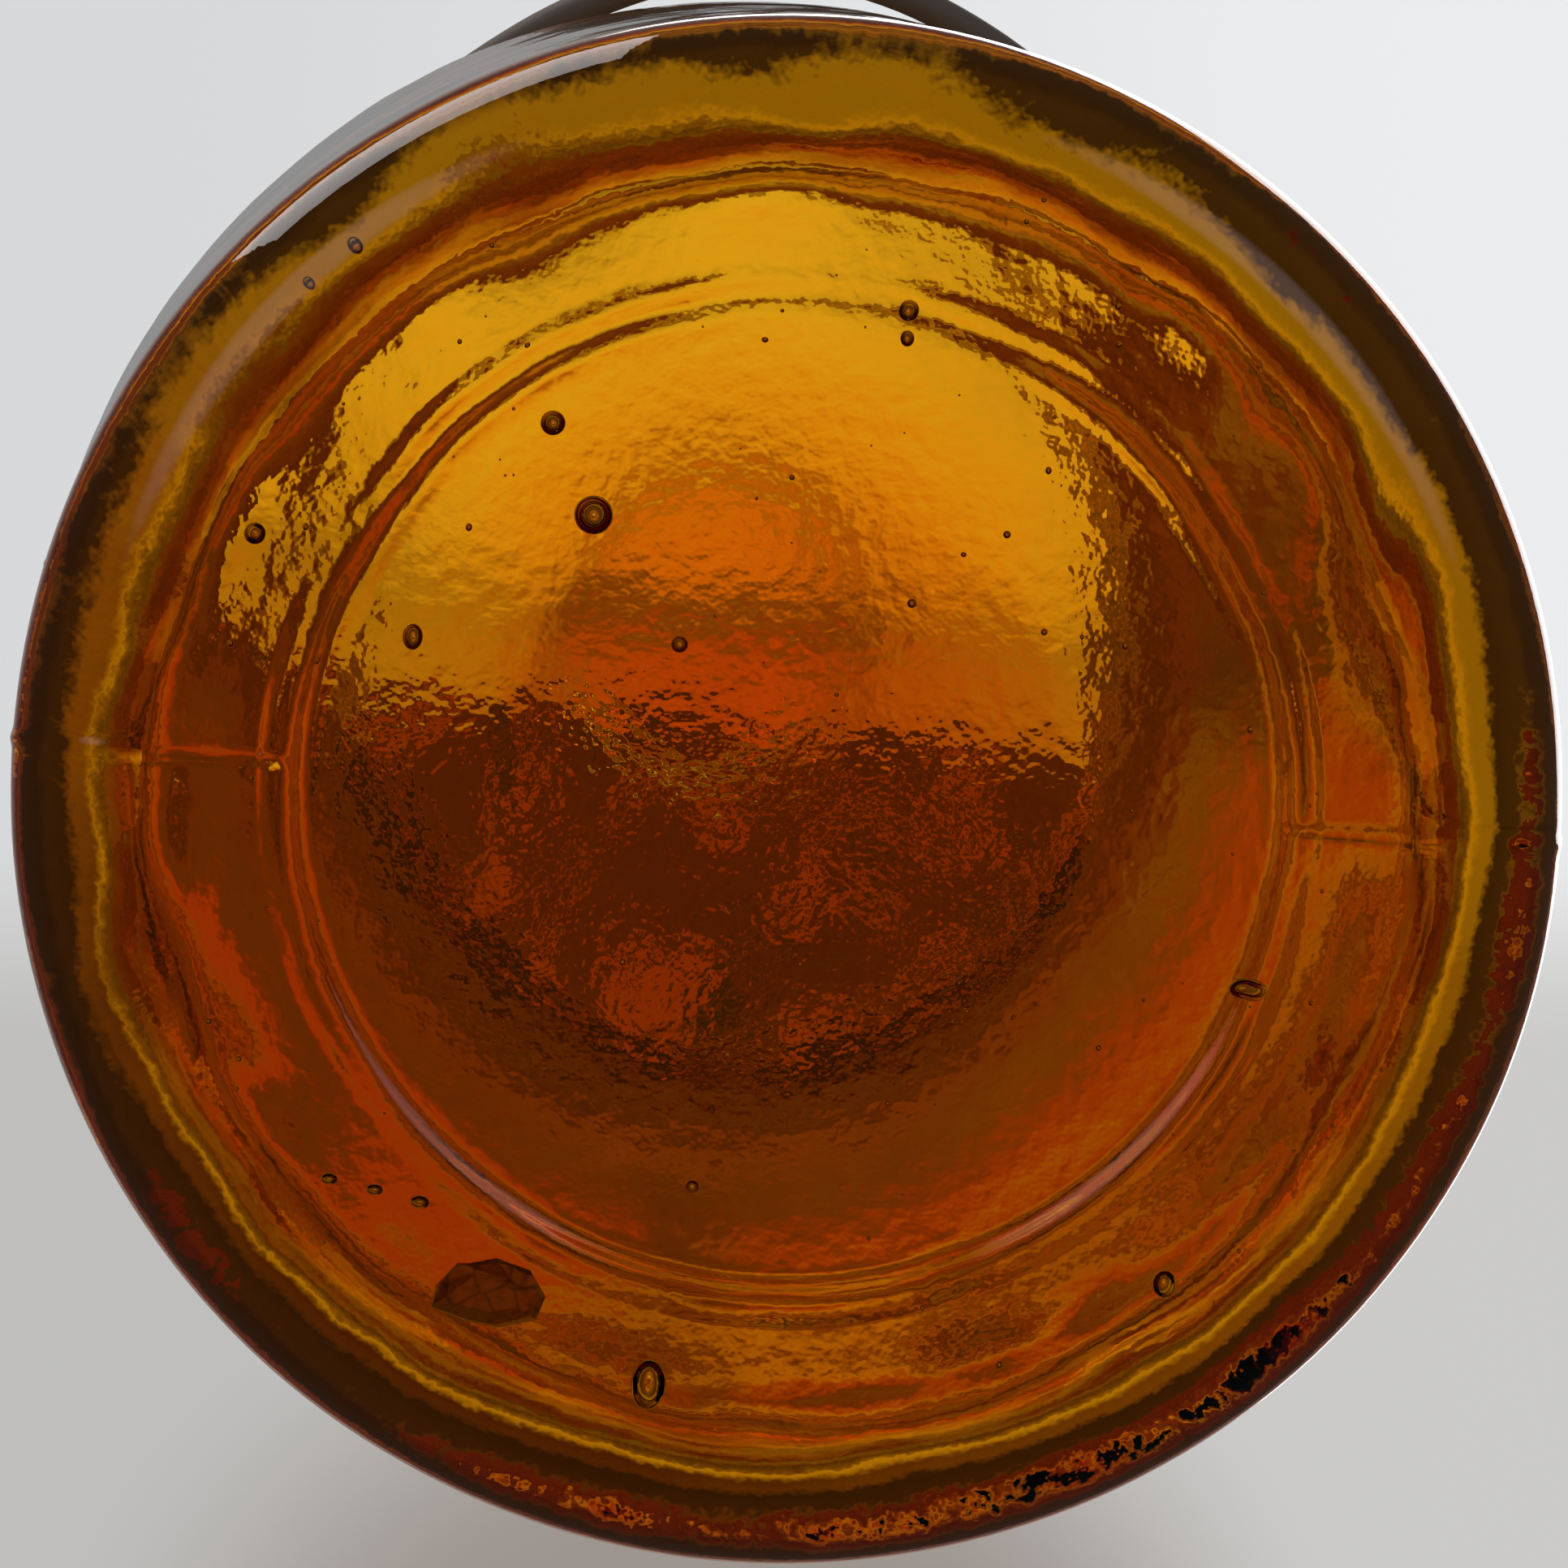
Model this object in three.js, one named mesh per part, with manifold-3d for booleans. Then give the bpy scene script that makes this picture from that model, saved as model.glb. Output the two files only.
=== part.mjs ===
// Fruit jar of amber glass with a glass lid, held down on a rubber ring by an iron wire toggle.
// Millimetres, +Z up. The origin is the centre of the base, on the plane that the jar stands on.
// The lever is at the front (-Y), and the ears of the neck wire are at +X and -X.

import * as THREE from "three";
import { mergeVertices } from "three/addons/utils/BufferGeometryUtils.js";
import Module from "manifold-3d";

const wasm = await Module();
wasm.setup();

// Glass body
const BODY_DIAMETER = 100;
const BODY_TOP = 136; // height at which the straight wall turns into the shoulder
const SIDE_WALL = 4.5;
const BASE_GLASS = 7.8;
const HEEL_RADIUS = 7;
const INNER_CORNER_RADIUS = 6;
const BASE_PLATE_DIAMETER = 65; // inside the round seam that the base plate of the mould left
const BASE_PUSH_UP = 0.7; // the base plate stands this far above the bearing ring
const BASE_SEAM_SLOPE = 3.2;
const BASE_DOME = 0.85; // rise of the inner floor's centre over its edge
const SHOULDER_RADIUS = 18;
const NECK_FILLET = 10;

// Glass neck and finish
const NECK_DIAMETER = 71;
const NECK_LENGTH = 20.5; // straight part, from the shoulder to the underside of the bead
const BEAD_OVERHANG = 4; // how far the bead stands out from the neck
const BEAD_HEIGHT = 11;
const BEAD_ROUNDING = 5; // height of the bead's rounded underside
const LEDGE_CORNER = 1.8;
const LIP_OUTER_DIAMETER = 63;
const LIP_WALL = 2.8;
const LIP_HEIGHT = 5;

// Rubber ring
const RING_THICKNESS = 2.3;
const RING_WIDTH = 6.4;
const RING_LIP_CLEARANCE = 0.4;
const RING_CORNER = 0.5;

// Glass lid
const LID_DIAMETER = 75.6;
const LID_FLANGE_THICKNESS = 6;
const LID_FLANGE_CORNER = 2;
const LID_LIP_CLEARANCE = 0.9; // between the lip and the wall of the hollow under the lid
const LID_HOLLOW_HEADROOM = 1.5; // between the top of the lip and the hollow's ceiling
const LID_GLASS = 6.5; // thickness under the middle of the dome
const LID_HOLLOW_RISE = 1.2;
const BOSS_DIAMETER = 22;
const BOSS_HEIGHT = 4.2;
const BOSS_ROUNDING = 2;
const NOTCH_DEPTH = 2.2;
const NOTCH_FLARE = 40; // degrees that the notch's sides lean away from upright

// Iron wire
const NECK_WIRE_DIAMETER = 2.6;
const LEVER_WIRE_DIAMETER = 2.4;
const BAIL_WIRE_DIAMETER = 2.4;
const COIL_GAP = 0.6; // air between neighbouring turns
const EAR_TURNS = 1;
const EYE_TURNS = 1.25;
const TWIST_LENGTH = 10;
const TWIST_TURNS = 1.5;
const TWIST_START = 3.6; // from the neck wire's centre line out to where the twist begins

// Toggle
const CRANK_LENGTH = 13; // from the lever's pins to the eyes that hold the bail
const CRANK_ANGLE = 22; // degrees that the latched crank leans forward of straight down
const LEVER_SLOPE = 14; // degrees that the latched lever dips towards the front
const LEVER_REACH = 53.4; // from the jar's axis to the outside of the lever's front
const LEVER_SIDE_HANDLE = 8; // how far the arms run on straight before they turn in
const LEVER_FRONT_HANDLE = 26; // how broad the front of the lever is
const BAIL_LEG = 26; // straight part of the bail's leg
const BAIL_SHOULDER_WIDTH = 82;
const BAIL_ARCH_RISE = 0.7; // the arch over the notch, on both sides of it

// Fits
const RUNNING_GAP = 0.3; // between wires that turn in each other
const SEAT_GAP = 0.3; // between pieces that rest on each other

// Facets
const GLASS_SEGMENTS = 48;
const WIRE_SIDES = 8;

const radians = THREE.MathUtils.degToRad;
const BODY_R = BODY_DIAMETER / 2;
const NECK_R = NECK_DIAMETER / 2;
const NECK_WIRE_R = NECK_WIRE_DIAMETER / 2;
const LEVER_WIRE_R = LEVER_WIRE_DIAMETER / 2;
const BAIL_WIRE_R = BAIL_WIRE_DIAMETER / 2;

// Shoulder: a convex arc and a hollow arc that share one tangent
const SHOULDER_ANGLE = Math.acos(1 - (BODY_R - NECK_R) / (SHOULDER_RADIUS + NECK_FILLET));
const SHOULDER_HEIGHT = (SHOULDER_RADIUS + NECK_FILLET) * Math.sin(SHOULDER_ANGLE);
const NECK_BOTTOM = BODY_TOP + SHOULDER_HEIGHT;
const BEAD_BOTTOM = NECK_BOTTOM + NECK_LENGTH;
const LEDGE = BEAD_BOTTOM + BEAD_HEIGHT;
const BEAD_R = NECK_R + BEAD_OVERHANG;
const LIP_R = LIP_OUTER_DIAMETER / 2;
const LIP_TOP = LEDGE + LIP_HEIGHT;

// Lid, from its underside up
const RING_BOTTOM = LEDGE + SEAT_GAP;
const LID_BOTTOM = RING_BOTTOM + RING_THICKNESS + SEAT_GAP;
const LID_R = LID_DIAMETER / 2;
const HOLLOW_R = LIP_R + LID_LIP_CLEARANCE;
const HOLLOW_TOP = LIP_TOP + LID_HOLLOW_HEADROOM;
const FLANGE_TOP = LID_BOTTOM + LID_FLANGE_THICKNESS;
const DOME_TOP = HOLLOW_TOP + LID_HOLLOW_RISE + LID_GLASS;
const BOSS_R = BOSS_DIAMETER / 2;
const BOSS_TOP = DOME_TOP + BOSS_HEIGHT;
const NOTCH_BOTTOM = BOSS_TOP - NOTCH_DEPTH;

// Pivots: each coil's centre line clears the pin inside it by the running gap
const EAR_COIL_R = LEVER_WIRE_R + RUNNING_GAP + NECK_WIRE_R;
const EYE_COIL_R = BAIL_WIRE_R + RUNNING_GAP + LEVER_WIRE_R;
const NECK_WIRE_Z = BEAD_BOTTOM - SEAT_GAP - NECK_WIRE_R;
const NECK_WIRE_RING_R = NECK_R + SEAT_GAP + NECK_WIRE_R;
const LEVER_PIVOT_Z = NECK_WIRE_Z - EAR_COIL_R;
const EAR_PITCH = NECK_WIRE_DIAMETER + COIL_GAP;
const EYE_PITCH = LEVER_WIRE_DIAMETER + COIL_GAP;
const EAR_OUTSIDE = NECK_WIRE_RING_R + EAR_TURNS * EAR_PITCH + NECK_WIRE_R;
const CRANK_X = EAR_OUTSIDE + RUNNING_GAP + LEVER_WIRE_R;
const ARM_X = CRANK_X + EYE_TURNS * EYE_PITCH;
const BAIL_X = ARM_X + LEVER_WIRE_R + RUNNING_GAP + BAIL_WIRE_R;
const BAIL_PIVOT_Y = -CRANK_LENGTH * Math.sin(radians(CRANK_ANGLE));
const BAIL_PIVOT_Z = LEVER_PIVOT_Z - CRANK_LENGTH * Math.cos(radians(CRANK_ANGLE));
const CROSS_WIRE_Z = NOTCH_BOTTOM + SEAT_GAP + BAIL_WIRE_R;

const material = (color, roughness, metalness, extra = {}) =>
  new THREE.MeshStandardMaterial({ color, roughness, metalness, ...extra });

const amberGlass = () => material(0x8a4a0c, 0.08, 0, { transparent: true, opacity: 0.55 });
const paleAmberGlass = () => material(0xa8722c, 0.12, 0, { transparent: true, opacity: 0.5 });
const agedRubber = () => material(0x4a2a20, 0.85, 0);
const agedIron = () => material(0x4b4038, 0.6, 0.8);

const at = (radius, height) => new THREE.Vector2(radius, height);

/** Points of an elliptic arc in a profile, without its first point. */
function arc(centre, radii, from, to, steps) {
  const points = [];
  for (let i = 1; i <= steps; i++) {
    const angle = radians(from + ((to - from) * i) / steps);
    points.push(at(centre[0] + radii[0] * Math.cos(angle), centre[1] + radii[1] * Math.sin(angle)));
  }
  return points;
}

/** A closed body turned from a profile of (radius, height) points about the Z axis. */
function turned(profile) {
  return new THREE.LatheGeometry(profile, GLASS_SEGMENTS).rotateX(Math.PI / 2);
}

/** A round wire along a smooth route, in steps of about the given length. */
function wire(route, radius, stepLength) {
  const path = new THREE.CatmullRomCurve3(route, false, "centripetal");
  path.arcLengthDivisions = route.length * 12;
  const section = new THREE.Shape();
  for (let i = 0; i < WIRE_SIDES; i++) {
    const angle = (2 * Math.PI * i) / WIRE_SIDES;
    const point = [radius * Math.cos(angle), radius * Math.sin(angle)];
    if (i === 0) section.moveTo(...point);
    else section.lineTo(...point);
  }
  section.closePath();
  const steps = Math.round(path.getLength() / stepLength);
  return new THREE.ExtrudeGeometry(section, { steps, extrudePath: path, bevelEnabled: false });
}

/** The manifold solid of a closed geometry. */
function solid(geometry) {
  const bare = geometry.clone();
  bare.deleteAttribute("normal");
  bare.deleteAttribute("uv");
  const merged = mergeVertices(bare, 1e-4);
  const vertProperties = new Float32Array(merged.attributes.position.array);
  const triVerts = new Uint32Array(merged.index.array);
  return new wasm.Manifold(new wasm.Mesh({ numProp: 3, vertProperties, triVerts }));
}

/** The geometry of a manifold solid. */
function geometryOf(body) {
  const result = body.getMesh();
  const geometry = new THREE.BufferGeometry();
  geometry.setAttribute("position", new THREE.BufferAttribute(result.vertProperties, 3));
  geometry.setIndex(new THREE.BufferAttribute(result.triVerts, 1));
  geometry.computeVertexNormals();
  return geometry;
}

function named(name, geometry, finish) {
  const mesh = new THREE.Mesh(geometry, finish);
  mesh.name = name;
  return mesh;
}

/** The shoulder's two arcs, for the outer wall or, with an offset, for the inner one. */
function shoulder(offset) {
  const convex = SHOULDER_RADIUS - offset;
  const hollow = NECK_FILLET + offset;
  const turn = THREE.MathUtils.radToDeg(SHOULDER_ANGLE);
  return [
    ...arc([BODY_R - SHOULDER_RADIUS, BODY_TOP], [convex, convex], 0, turn, 6),
    ...arc([NECK_R + NECK_FILLET, NECK_BOTTOM], [hollow, hollow], 180 + turn, 180, 5),
  ];
}

/** Blown glass body: base plate, heel, straight wall, shoulder, bead, ledge and inner lip. */
function jar() {
  const plateR = BASE_PLATE_DIAMETER / 2;
  const innerR = BODY_R - SIDE_WALL;
  const innerNeckR = NECK_R - SIDE_WALL;
  const boreR = LIP_R - LIP_WALL;
  const lipRound = LIP_WALL / 2;
  const floorEdge = BASE_GLASS + BASE_PUSH_UP;
  const outside = [
    at(0, BASE_PUSH_UP),
    at(plateR - BASE_SEAM_SLOPE, BASE_PUSH_UP),
    at(plateR, 0),
    at(BODY_R - HEEL_RADIUS, 0),
    ...arc([BODY_R - HEEL_RADIUS, HEEL_RADIUS], [HEEL_RADIUS, HEEL_RADIUS], -90, 0, 6),
    at(BODY_R, BODY_TOP),
    ...shoulder(0),
    at(NECK_R, BEAD_BOTTOM),
    ...arc([NECK_R, BEAD_BOTTOM + BEAD_ROUNDING], [BEAD_OVERHANG, BEAD_ROUNDING], -90, 0, 5),
    at(BEAD_R, LEDGE - LEDGE_CORNER),
    ...arc([BEAD_R - LEDGE_CORNER, LEDGE - LEDGE_CORNER], [LEDGE_CORNER, LEDGE_CORNER], 0, 90, 3),
    at(LIP_R, LEDGE),
    at(LIP_R, LIP_TOP - lipRound),
    ...arc([LIP_R - lipRound, LIP_TOP - lipRound], [lipRound, lipRound], 0, 180, 6),
  ];
  const inside = [
    at(boreR, LEDGE),
    at(innerNeckR, BEAD_BOTTOM),
    ...shoulder(SIDE_WALL).reverse(),
    at(innerR, BODY_TOP),
    at(innerR, floorEdge + INNER_CORNER_RADIUS),
    ...arc(
      [innerR - INNER_CORNER_RADIUS, floorEdge + INNER_CORNER_RADIUS],
      [INNER_CORNER_RADIUS, INNER_CORNER_RADIUS],
      0,
      -90,
      6,
    ),
    at(innerR / 2, floorEdge + BASE_DOME * 0.7),
    at(0, floorEdge + BASE_DOME),
  ];
  return turned([...outside, ...inside]);
}

/** Flat rubber ring on the ledge, round the lip. */
function rubberRing() {
  const inner = LIP_R + RING_LIP_CLEARANCE;
  const outer = inner + RING_WIDTH;
  const top = RING_BOTTOM + RING_THICKNESS;
  return turned([
    at(inner, RING_BOTTOM),
    at(outer - RING_CORNER, RING_BOTTOM),
    at(outer, RING_BOTTOM + RING_CORNER),
    at(outer, top - RING_CORNER),
    at(outer - RING_CORNER, top),
    at(inner, top),
    at(inner, RING_BOTTOM),
  ]);
}

/** The trough that the cross wire lies in: a round bottom with flared sides, along X. */
function notchCutter() {
  const bottomR = BAIL_WIRE_R + SEAT_GAP;
  const flare = radians(NOTCH_FLARE);
  const reach = NOTCH_DEPTH + BOSS_HEIGHT;
  const side = new THREE.Vector2(bottomR * Math.cos(flare), -bottomR * Math.sin(flare));
  const outline = new THREE.Shape();
  outline.moveTo(side.x + reach * Math.tan(flare), side.y + reach);
  outline.lineTo(-side.x - reach * Math.tan(flare), side.y + reach);
  outline.lineTo(-side.x, side.y);
  outline.absarc(0, 0, bottomR, Math.PI + flare, 2 * Math.PI - flare, false);
  outline.closePath();
  const length = BOSS_DIAMETER * 2;
  const cutter = new THREE.ExtrudeGeometry(outline, {
    depth: length,
    bevelEnabled: false,
    curveSegments: 4,
  });
  cutter.translate(0, 0, -length / 2);
  cutter.rotateX(Math.PI / 2).rotateZ(Math.PI / 2);
  return cutter.translate(0, 0, CROSS_WIRE_Z);
}

/** Pressed glass lid: flat flange, hollow underside, dome, and a boss notched for the bail. */
function lid() {
  const domeR = LID_R - LID_FLANGE_CORNER;
  const domeFoot = (DOME_TOP - FLANGE_TOP) * 0.35;
  const blank = turned([
    at(0, HOLLOW_TOP + LID_HOLLOW_RISE),
    at(HOLLOW_R / 2, HOLLOW_TOP + LID_HOLLOW_RISE * 0.75),
    at(HOLLOW_R - LID_HOLLOW_HEADROOM, HOLLOW_TOP),
    at(HOLLOW_R, HOLLOW_TOP - LID_HOLLOW_HEADROOM),
    at(HOLLOW_R, LID_BOTTOM),
    at(LID_R - LID_FLANGE_CORNER / 2, LID_BOTTOM),
    at(LID_R, LID_BOTTOM + LID_FLANGE_CORNER / 2),
    at(LID_R, FLANGE_TOP - LID_FLANGE_CORNER),
    ...arc([domeR, FLANGE_TOP - LID_FLANGE_CORNER], [LID_FLANGE_CORNER, LID_FLANGE_CORNER], 0, 90, 3),
    at(domeR * 0.93, FLANGE_TOP + domeFoot * 0.3),
    ...arc([0, FLANGE_TOP + domeFoot], [domeR * 0.88, DOME_TOP - FLANGE_TOP - domeFoot], 8, 64, 6),
    at(BOSS_R, DOME_TOP),
    at(BOSS_R - BOSS_ROUNDING * 0.3, BOSS_TOP - BOSS_ROUNDING),
    ...arc(
      [BOSS_R - BOSS_ROUNDING * 1.3, BOSS_TOP - BOSS_ROUNDING],
      [BOSS_ROUNDING, BOSS_ROUNDING],
      0,
      90,
      3,
    ),
    at(0, BOSS_TOP),
  ]);
  return geometryOf(solid(blank).subtract(solid(notchCutter())));
}

const mirrored = (points) => points.map((p) => new THREE.Vector3(-p.x, p.y, p.z)).reverse();

/** One strand of the neck wire's twist behind the jar, from its cut end in to the neck. */
function twistStrand(side) {
  const points = [];
  const coilR = NECK_WIRE_R + COIL_GAP / 2;
  const count = Math.round(8 * TWIST_TURNS);
  for (let i = count; i >= 0; i--) {
    const turn = (2 * Math.PI * TWIST_TURNS * i) / count;
    const y = NECK_WIRE_RING_R + TWIST_START + (TWIST_LENGTH * i) / count;
    const z = NECK_WIRE_Z + side * coilR * Math.sin(turn);
    points.push(new THREE.Vector3(side * coilR * Math.cos(turn), y, z));
  }
  const ringY = NECK_WIRE_RING_R;
  points.push(new THREE.Vector3(side * coilR * 1.5, ringY + TWIST_START * 0.4, NECK_WIRE_Z));
  return points;
}

/** The neck wire from behind the jar round to its front, with the ear's coil on the way. */
function neckWireHalf() {
  const points = [];
  const onRing = (degrees) =>
    new THREE.Vector3(
      NECK_WIRE_RING_R * Math.cos(radians(degrees)),
      NECK_WIRE_RING_R * Math.sin(radians(degrees)),
      NECK_WIRE_Z,
    );
  for (let degrees = 81; degrees > 0; degrees -= 9) points.push(onRing(degrees));
  const coilSteps = Math.round(12 * EAR_TURNS);
  for (let i = 0; i <= coilSteps; i++) {
    const turn = (2 * Math.PI * EAR_TURNS * i) / coilSteps;
    const x = NECK_WIRE_RING_R + (EAR_PITCH * EAR_TURNS * i) / coilSteps;
    const y = -EAR_COIL_R * Math.sin(turn);
    points.push(new THREE.Vector3(x, y, LEVER_PIVOT_Z + EAR_COIL_R * Math.cos(turn)));
  }
  const coilX = NECK_WIRE_RING_R + EAR_PITCH * EAR_TURNS;
  points.push(new THREE.Vector3(coilX, -EAR_COIL_R, NECK_WIRE_Z));
  points.push(onRing(-14).add(new THREE.Vector3((EAR_PITCH * EAR_TURNS) / 2, 0, 0)));
  for (let degrees = -27; degrees > -90; degrees -= 9) points.push(onRing(degrees));
  return points;
}

/** Neck wire: one wire in the groove under the bead, coiled into two ears, twisted at the back. */
function neckWire() {
  const half = neckWireHalf();
  const front = new THREE.Vector3(0, -NECK_WIRE_RING_R, NECK_WIRE_Z);
  const route = [
    ...twistStrand(1),
    ...half,
    front,
    ...mirrored(half),
    ...twistStrand(-1).reverse(),
  ];
  return wire(route, NECK_WIRE_R, 1.9);
}

/** Half of the lever, from its pin in the ear, down the crank and round the eye, to the front. */
function leverHalf() {
  const points = [
    new THREE.Vector3(NECK_R + NECK_WIRE_R, 0, LEVER_PIVOT_Z),
    new THREE.Vector3(CRANK_X - LEVER_WIRE_DIAMETER, 0, LEVER_PIVOT_Z),
    new THREE.Vector3(CRANK_X - LEVER_WIRE_R / 2, 0, LEVER_PIVOT_Z - LEVER_WIRE_R / 3),
  ];
  const backY = BAIL_PIVOT_Y + EYE_COIL_R;
  for (const share of [0.2, 0.6]) {
    const z = LEVER_PIVOT_Z + (BAIL_PIVOT_Z - LEVER_PIVOT_Z) * share;
    points.push(new THREE.Vector3(CRANK_X, backY * share, z));
  }
  const coilSteps = Math.round(12 * EYE_TURNS);
  for (let i = 0; i <= coilSteps; i++) {
    const turn = (-2 * Math.PI * EYE_TURNS * i) / coilSteps;
    const x = CRANK_X + (EYE_PITCH * EYE_TURNS * i) / coilSteps;
    const y = BAIL_PIVOT_Y + EYE_COIL_R * Math.cos(turn);
    points.push(new THREE.Vector3(x, y, BAIL_PIVOT_Z + EYE_COIL_R * Math.sin(turn)));
  }
  const start = points.at(-1);
  const frontY = LEVER_WIRE_R - LEVER_REACH;
  const plan = new THREE.CubicBezierCurve(
    at(start.x, start.y),
    at(start.x, start.y - LEVER_SIDE_HANDLE),
    at(LEVER_FRONT_HANDLE, frontY),
    at(0, frontY),
  );
  const armSteps = 10;
  for (let i = 1; i < armSteps; i++) {
    const p = plan.getPoint(i / armSteps);
    const drop = (start.y - p.y) * Math.tan(radians(LEVER_SLOPE));
    points.push(new THREE.Vector3(p.x, p.y, start.z - drop));
  }
  return points;
}

/** Lever: a wire hoop across the front, with an eye for the bail and a pin in each ear. */
function lever() {
  const half = leverHalf();
  const frontY = LEVER_WIRE_R - LEVER_REACH;
  const startZ = BAIL_PIVOT_Z - EYE_COIL_R;
  const frontZ = startZ - (BAIL_PIVOT_Y - frontY) * Math.tan(radians(LEVER_SLOPE));
  const route = [...half, new THREE.Vector3(0, frontY, frontZ), ...mirrored(half)];
  return wire(route, LEVER_WIRE_R, 2);
}

/** Bail: hooked through the lever's eyes, up both sides and over the lid through its notch. */
function bail() {
  const lean = Math.atan2(-BAIL_PIVOT_Y, CROSS_WIRE_Z - BAIL_PIVOT_Z);
  const height = Math.hypot(BAIL_PIVOT_Y, CROSS_WIRE_Z - BAIL_PIVOT_Z);
  const up = (x, h) =>
    new THREE.Vector3(x, BAIL_PIVOT_Y + h * Math.sin(lean), BAIL_PIVOT_Z + h * Math.cos(lean));
  const shoulderX = BAIL_SHOULDER_WIDTH / 2;
  const half = [
    up(CRANK_X - LEVER_WIRE_R, 0),
    up(BAIL_X - BAIL_WIRE_DIAMETER, 0),
    up(BAIL_X - BAIL_WIRE_R / 2, BAIL_WIRE_R / 3),
    up(BAIL_X, BAIL_WIRE_DIAMETER),
    up(BAIL_X, BAIL_LEG / 2),
    up(BAIL_X, BAIL_LEG),
    up((BAIL_X + shoulderX) / 2 + 1, BAIL_LEG + (height - BAIL_LEG) * 0.45),
    up(shoulderX, BAIL_LEG + (height - BAIL_LEG) * 0.78),
    up(shoulderX - 7, height - 0.6),
    up(shoulderX * 0.55, height + BAIL_ARCH_RISE),
    up(BOSS_R, height),
  ];
  return wire([...half, up(0, height), ...mirrored(half)], BAIL_WIRE_R, 2.4);
}

const fruitJar = new THREE.Group();
fruitJar.add(named("jar", jar(), amberGlass()));
fruitJar.add(named("rubber_ring", rubberRing(), agedRubber()));
fruitJar.add(named("lid", lid(), paleAmberGlass()));
fruitJar.add(named("neck_wire", neckWire(), agedIron()));
fruitJar.add(named("lever", lever(), agedIron()));
fruitJar.add(named("bail", bail(), agedIron()));

export default fruitJar;
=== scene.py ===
"""Looks of a wire-bail fruit jar: wavy amber glass with bubbles, a pressed lid, aged rubber, iron wire.

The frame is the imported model, in metres and +Z up. Shapes below are written in millimetres, as the
real jar would be measured, and turned into metres when their meshes are made.
"""

import math
import random
import bpy
from bpy.props import FloatProperty, FloatVectorProperty, IntProperty, PointerProperty
from mathutils import Matrix, Vector, noise


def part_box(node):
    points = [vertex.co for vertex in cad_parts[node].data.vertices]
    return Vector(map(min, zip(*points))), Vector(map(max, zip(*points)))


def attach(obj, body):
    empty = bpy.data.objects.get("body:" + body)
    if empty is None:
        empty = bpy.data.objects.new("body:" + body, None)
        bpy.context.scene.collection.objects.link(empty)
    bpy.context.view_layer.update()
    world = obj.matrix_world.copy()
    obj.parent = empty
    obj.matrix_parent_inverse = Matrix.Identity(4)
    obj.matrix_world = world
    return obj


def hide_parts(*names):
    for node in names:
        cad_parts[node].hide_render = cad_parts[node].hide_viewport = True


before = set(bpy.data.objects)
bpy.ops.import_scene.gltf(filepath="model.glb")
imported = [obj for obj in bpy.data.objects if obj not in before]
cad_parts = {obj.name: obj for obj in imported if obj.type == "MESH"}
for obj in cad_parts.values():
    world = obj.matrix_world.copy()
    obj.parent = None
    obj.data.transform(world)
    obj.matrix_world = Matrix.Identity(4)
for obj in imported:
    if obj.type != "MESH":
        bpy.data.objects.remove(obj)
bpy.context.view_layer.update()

bl_info = {
    "name": "Wire-Bail Fruit Jar",
    "version": (1, 0, 0),
    "blender": (4, 5, 0),
    "location": "View3D > Sidebar > Fruit Jar",
    "description": "Builds the glass, rubber and wire of a wire-bail fruit jar",
    "category": "Object",
}

MM = 0.001
JAR_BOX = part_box("jar")
LID_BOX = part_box("lid")
RING_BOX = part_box("rubber_ring")

# Glass body, in millimetres
BODY_R = JAR_BOX[1].x / MM
BODY_TOP = 136.0
LIP_TOP = JAR_BOX[1].z / MM
HEEL_R = 7.0
SHOULDER_R = 18.0
NECK_FILLET = 10.0
NECK_R = 35.5
NECK_LENGTH = 20.5
BEAD_OVERHANG = 4.0
BEAD_HEIGHT = 11.0
BEAD_ROUNDING = 5.0
LEDGE_CORNER = 1.8
LIP_R = 31.5
LIP_WALL = 2.8
INNER_CORNER_R = 6.0
PROFILE_STEP = 0.3
JAR_ANGLES = 208
BASE_DOME = 0.85
BASE_LEAN = 0.024
BASE_SEAM_SLOPE = 1.5
CUP_START = 19.0
CUP_WIDTH = 12.0
CUP_RISE = 0.64
SHOULDER_ANGLE = math.acos(1 - (BODY_R - NECK_R) / (SHOULDER_R + NECK_FILLET))
NECK_BOTTOM = BODY_TOP + (SHOULDER_R + NECK_FILLET) * math.sin(SHOULDER_ANGLE)
BEAD_BOTTOM = NECK_BOTTOM + NECK_LENGTH
LEDGE = BEAD_BOTTOM + BEAD_HEIGHT

# Lid, in millimetres
LID_R = LID_BOX[1].x / MM
LID_BOTTOM = LID_BOX[0].z / MM
BOSS_TOP = LID_BOX[1].z / MM
FLANGE_THICKNESS = 6.0
FLANGE_CORNER = 2.0
HOLLOW_R = LIP_R + 0.9
HOLLOW_TOP = LIP_TOP + 1.5
HOLLOW_RISE = 1.2
HOLLOW_CORNER = 1.5
LID_GLASS = 6.5
DOME_TOP = HOLLOW_TOP + HOLLOW_RISE + LID_GLASS
BOSS_R = 11.0
BOSS_ROUNDING = 2.0
NOTCH_DEPTH = 2.2
NOTCH_FLARE = math.radians(40)
LID_ANGLES = 224

# Rubber ring, in millimetres
RING_INNER_R = LIP_R + 0.4
RING_CORNER = 0.45
RING_ANGLES = 420

# Radii at which the patterns of the ring's wear and of the base's grooves are read, in millimetres
RING_PATTERN_R = 34
GROOVE_PATTERN_R = 30

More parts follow.
